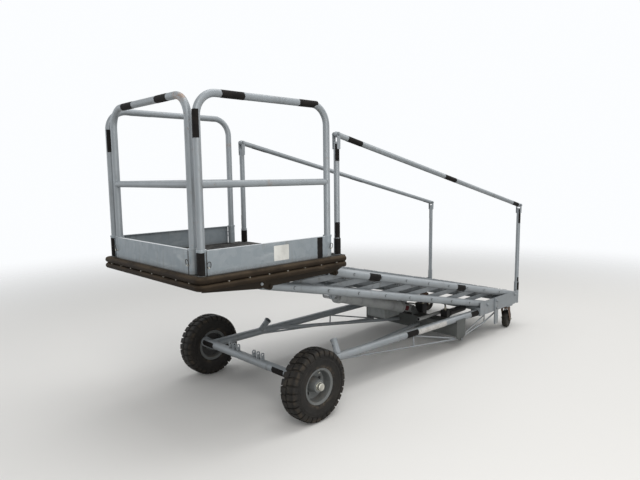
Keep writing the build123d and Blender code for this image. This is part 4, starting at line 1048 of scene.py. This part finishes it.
for side, sign in (("left", 1), ("right", -1)):
    clipPin(f"frontClip_{side}", (1.8493, 0.454 * sign, 1.085), (1, 0, 0))
    clipPin(f"sideClip_{side}", (1.802, 0.5664 * sign, 1.076), (0, sign, 0))
    clipPin(f"rearClip_{side}", (0.882, 0.5664 * sign, 1.088), (0, sign, 0))
print("clip pins made")

# Weld beads, nuts and bolts

weldSizes = {
    "hoopRadius": 0.0211,
    "middleRailRadius": 0.0200,
    "railWeld": 0.0022,                  # the beads' radii
    "stubRadius": 0.02415,
    "longTubeRadius": 0.03015,
    "stubWeld": 0.0030,
    "middleRails": (                     # left ends: a point on the post, the rail's way off it
        ((1.8239, 0.541, 1.51633), (-1, 0, 0)),
        ((0.8809, 0.541, 1.51633), (1, 0, 0)),
        ((1.8239, 0.460, 1.51633), (0, -1, 0)),
    ),
    "stubAt": 0.691,                     # X along the long tube
    "stubLean": (-27, -73, 100),
}

bolts = {
    # left side: body, slot, then each bolt's place, direction, width, rise and sides
    "frameBolts": ("base", "frame_paint", (
        ((-1.4088, 0.559, 0.268), (0, 1, 0), 0.019, 0.0078, 6),
        ((-1.4088, 0.559, 0.338), (0, 1, 0), 0.019, 0.0078, 6),
        ((-1.74085, 0.533, 0.230), (0, 0, -1), 0.013, 0.0060, 6),
        ((-1.65685, 0.533, 0.230), (0, 0, -1), 0.013, 0.0060, 6),
        ((-1.74085, 0.457, 0.230), (0, 0, -1), 0.013, 0.0060, 6),
        ((-1.65685, 0.457, 0.230), (0, 0, -1), 0.013, 0.0060, 6),
        ((-1.80185, 0.548, 0.335), (0, 1, 0), 0.021, 0.0070, 6),
        ((-1.24785, 0.548, 0.327), (0, 1, 0), 0.021, 0.0070, 6),
        ((-1.86385, 0.5507, 1.23702), (0, 1, 0), 0.0145, 0.0062, 6),
        ((-1.86385, 0.4954, 1.23702), (0, -1, 0), 0.0145, 0.0062, 6),
    )),
    "headPinCaps": ("platform", "skirt_paint", (
        ((0.8319, 0.5775, 0.9203), (0, 1, 0), 0.017, 0.0060, 24),
        ((1.3859, 0.5775, 0.9123), (0, 1, 0), 0.017, 0.0060, 24),
    )),
    "platformBolts": ("platform", "frame_paint", (
        ((1.448, 0.5705, 0.936), (0, 1, 0), 0.014, 0.0060, 24),
        ((0.7699, 0.5507, 1.8223), (0, 1, 0), 0.0145, 0.0062, 6),
        ((0.7699, 0.4954, 1.8223), (0, -1, 0), 0.0145, 0.0062, 6),
    )),
}

casterSizes = {
    "swivel": (-1.69885, 0.495),
    "yaw": 12,                           # degrees, each the other way
    "axleBehind": 0.045,
    "axleHeight": 0.089,
    "halfFork": 0.0438,
    "nut": (0.016, 0.0075),              # width, rise
}


def mirrored(point, sign):
    return (point[0], point[1] * sign, point[2])


def makeWelds(side, sign):
    paths = []
    for place, way in weldSizes["middleRails"]:
        start = mirrored(place, sign)
        paths.append(weldPath(start, mirrored(way, sign), weldSizes["middleRailRadius"], (*start[:2], 0), up,
                              weldSizes["hoopRadius"], lift=0.0004, count=36))
    bead(paths, f"railWelds_{side}", "platform", "frame_paint", weldSizes["railWeld"])
    foot, heel = Vector(onLongTube(weldSizes["stubAt"])), Vector(onLongTube(-0.5))
    foot, tube = mirrored(foot, sign), mirrored(foot - heel, sign)
    stub = weldPath(foot, mirrored(weldSizes["stubLean"], sign), weldSizes["stubRadius"], foot, tube,
                    weldSizes["longTubeRadius"], lift=0.0006, count=40)
    bead([stub], f"stubWeld_{side}", "base", "frame_paint", weldSizes["stubWeld"])


def makeBolts(side, sign):
    for name, (body, slot, places) in bolts.items():
        shape = bmesh.new()
        for place, way, across, rise, sides in places:
            boltHead(shape, mirrored(place, sign), mirrored(way, sign), across, rise, sides)
        finishPiece(shape, f"{name}_{side}", body, slot)


def makeCasterNuts(side, sign):
    x, y = casterSizes["swivel"]
    turn = Matrix.Rotation(radians(casterSizes["yaw"] * sign), 3, "Z")
    axle = (Vector((x, y * sign, casterSizes["axleHeight"]))
            + turn @ Vector((-casterSizes["axleBehind"], 0, 0)))
    sideways = turn @ Vector(out)
    nuts = bmesh.new()
    for way in (1, -1):
        boltHead(nuts, axle + sideways * casterSizes["halfFork"] * way, sideways * way, *casterSizes["nut"])
    finishPiece(nuts, f"casterNuts_{side}", f"caster_{side}", "rusty_steel", zincPlate)


for side, sign in (("left", 1), ("right", -1)):
    makeWelds(side, sign)
    makeBolts(side, sign)
    makeCasterNuts(side, sign)
print("welds and bolts made")

# Hydraulics: hose fittings, gauge, handle sleeve, tank cap

fittingSizes = {
    "places": (                          # each hose end's place and direction
        ((-0.9028, 0.300, 0.2975), (0, 0, 1)),
        ((-0.9028, 0.052, 0.3175), (0, 0, 1)),
        ((-0.7388, -0.135, 0.296), (-1, 0, 0)),
        ((-0.9138, -0.025, 0.296), (0, -1, 0)),
    ),
    "nutRadius": 0.0115,
    "nutLength": 0.011,
    "ferrule": [(0.010, 0.0080), (0.013, 0.0098), (0.030, 0.0098), (0.032, 0.0080)],
}

handleSizes = {
    "start": (-0.9853, 0.222, 0.256),    # the painted sleeve on the pump's handle
    "sleeve": [(0.0, 0.01345), (0.0, 0.0150), (0.003, 0.0158), (0.394, 0.0158), (0.3965, 0.0150),
               (0.3965, 0.01345)],
}

tankCapSizes = {
    "ring": (-0.6188, -0.205, 0.3655),
    "radius": 0.0245,
    "wall": 0.0022,
    "ribs": 12,
    "ribCircle": 0.0262,
    "ribHeight": 0.356,
    "rib": (0.0024, 0.0052, 0.014),
}

gaugeSizes = {
    "centre": (-0.9138, 0, 0.352),       # in the middle of the valve block
    "bezel": [(0.0300, 0.0), (0.0300, 0.0232), (0.0355, 0.0236), (0.0372, 0.0228), (0.0376, 0.0212),
              (0.0362, 0.0204), (0.0352, 0.0204), (0.0352, 0.0)],
    "dialRadius": 0.0203,
    "dialOut": 0.0356,
    "markOut": 0.0358,
    "needleOut": 0.0362,
    "marks": 11,
    "firstMark": 225,                    # degrees
    "markStep": 27,
    "markCircle": 0.0165,
    "mark": (0.004, 0.0004, 0.0009),
    "reading": 218,                      # the needle's angle, degrees
}


def makeFittings():
    shape = bmesh.new()
    radius, length = fittingSizes["nutRadius"], fittingSizes["nutLength"]
    for place, axis in fittingSizes["places"]:
        place, axis = Vector(place), Vector(axis)
        turn = axis.to_track_quat("Z", "Y").to_matrix().to_4x4()
        addCone(shape, Matrix.Translation(place + axis * length / 2) @ turn, 6, radius, radius, length)
        lathe(shape, fittingSizes["ferrule"], place, axis, steps=24)
    finishPiece(shape, "hoseFittings", "base", "black_parts", fittingPlate, sharp=28)


def makeGauge():
    x, y, z = gaugeSizes["centre"]
    bezel = bmesh.new()
    lathe(bezel, gaugeSizes["bezel"], (x, y, z), out, steps=40, closed=False)
    finishPiece(bezel, "gaugeBezel", "base", "black_parts", fittingPlate, sharp=28)
    dial = bmesh.new()
    at = Matrix.Translation((x, gaugeSizes["dialOut"], z))
    bmesh.ops.create_circle(dial, cap_ends=True, segments=40, radius=gaugeSizes["dialRadius"],
                            matrix=at @ Matrix.Rotation(-pi / 2, 4, "X"))
    finishPiece(dial, "gaugeDial", "base", "black_parts", paleStrip)
    marks = bmesh.new()
    for index in range(gaugeSizes["marks"]):
        angle = radians(gaugeSizes["firstMark"] - gaugeSizes["markStep"] * index)
        at = Matrix.Translation((x, gaugeSizes["markOut"], z)) @ Matrix.Rotation(-angle, 4, "Y")
        addBox(marks, at @ Matrix.Translation((gaugeSizes["markCircle"], 0, 0)), gaugeSizes["mark"])
    at = Matrix.Translation((x, gaugeSizes["needleOut"], z))
    at = at @ Matrix.Rotation(radians(-gaugeSizes["reading"]), 4, "Y") @ Matrix.Translation((0.0065, 0, 0))
    addCone(marks, at @ Matrix.Rotation(pi / 2, 4, "Y"), 8, 0.0011, 0.0003, 0.020)
    finishPiece(marks, "gaugeMarks", "base", "black_parts")


def makeTankCap():
    x, y, z = tankCapSizes["ring"]
    reach, height = tankCapSizes["ribCircle"], tankCapSizes["ribHeight"]
    cap = bmesh.new()
    ringOn(cap, (x, y, z), up, tankCapSizes["radius"], tankCapSizes["wall"])
    for index in range(tankCapSizes["ribs"]):
        angle = 2 * pi * index / tankCapSizes["ribs"]
        at = Matrix.Translation((x + reach * cos(angle), y + reach * sin(angle), height))
        addBox(cap, at @ Matrix.Rotation(angle, 4, "Z"), tankCapSizes["rib"])
    finishPiece(cap, "tankCapRim", "base", "black_parts")


makeFittings()
makeGauge()
sleeve = bmesh.new()
lathe(sleeve, handleSizes["sleeve"], handleSizes["start"], ahead, steps=32)
finishPiece(sleeve, "handleSleeve", "base", "frame_paint", handlePaint)

# Painted end plates over the dark cross beam's ends, from a merged copy of its end faces

endPlateThickness = 0.0012
for side, sign in (("left", 1), ("right", -1)):
    plates = bmesh.new()
    plates.from_mesh(nodes["cross_beam"].data)
    bmesh.ops.remove_doubles(plates, verts=plates.verts, dist=2e-6)
    reach = max(vert.co.y * sign for vert in plates.verts) - 0.0005
    inner = [face for face in plates.faces if any(vert.co.y * sign < reach for vert in face.verts)]
    bmesh.ops.delete(plates, geom=inner, context="FACES")
    grown = bmesh.ops.extrude_face_region(plates, geom=list(plates.faces), use_keep_orig=True)
    bmesh.ops.translate(plates, verts=newVerts(grown), vec=(0, endPlateThickness * sign, 0))
    finishPiece(plates, f"beamEnd_{side}", "base", "frame_paint")

makeTankCap()
tapeBand("redTag", "cylinder", 0.058, 0.120, (-52, 34), look=redTag, slot="cylinder_paint")
print("hydraulic parts made")

# Toe board: a blank plate and a strip of tape

toeBoardSizes = {
    "plateCentre": (1.2925, 0.5669, 1.1025),
    "plate": (0.115, 0.0014, 0.091),
    "plateCorner": 0.004,
    "stripCentre": (0.9725, 0.5671, 1.0990),
    "strip": (0.046, 0.132),
    "stripThickness": 0.0009,
    "torn": 0.0008,
    "frayed": 0.0003,
}


def makeToeBoardParts():
    plate = bmesh.new()
    addBox(plate, Matrix.Translation(toeBoardSizes["plateCentre"]), toeBoardSizes["plate"])
    corners = [edge for edge in plate.edges if abs(edge.verts[0].co.y - edge.verts[1].co.y) > 0.001]
    soften(plate, corners, toeBoardSizes["plateCorner"], segments=4)
    finishPiece(plate, "blankPlate", "platform", "galvanised", plateWhite)
    strip = bmesh.new()
    turn = Matrix.Rotation(-pi / 2, 4, "X") @ Matrix.Diagonal((*toeBoardSizes["strip"], 1, 1))
    bmesh.ops.create_grid(strip, x_segments=3, y_segments=16, size=0.5,
                          matrix=Matrix.Translation(toeBoardSizes["stripCentre"]) @ turn)
    for vert in strip.verts:             # torn a little out of true
        fray = random.uniform(-toeBoardSizes["frayed"], toeBoardSizes["frayed"])
        vert.co.x += toeBoardSizes["torn"] * sin(vert.co.z * 190) + fray
    grown = bmesh.ops.extrude_face_region(strip, geom=list(strip.faces))
    bmesh.ops.translate(strip, verts=newVerts(grown), vec=(0, -toeBoardSizes["stripThickness"], 0))
    finishPiece(strip, "toeBoardTape", "platform", "black_parts", tape)


makeToeBoardParts()
print("toe board parts made")
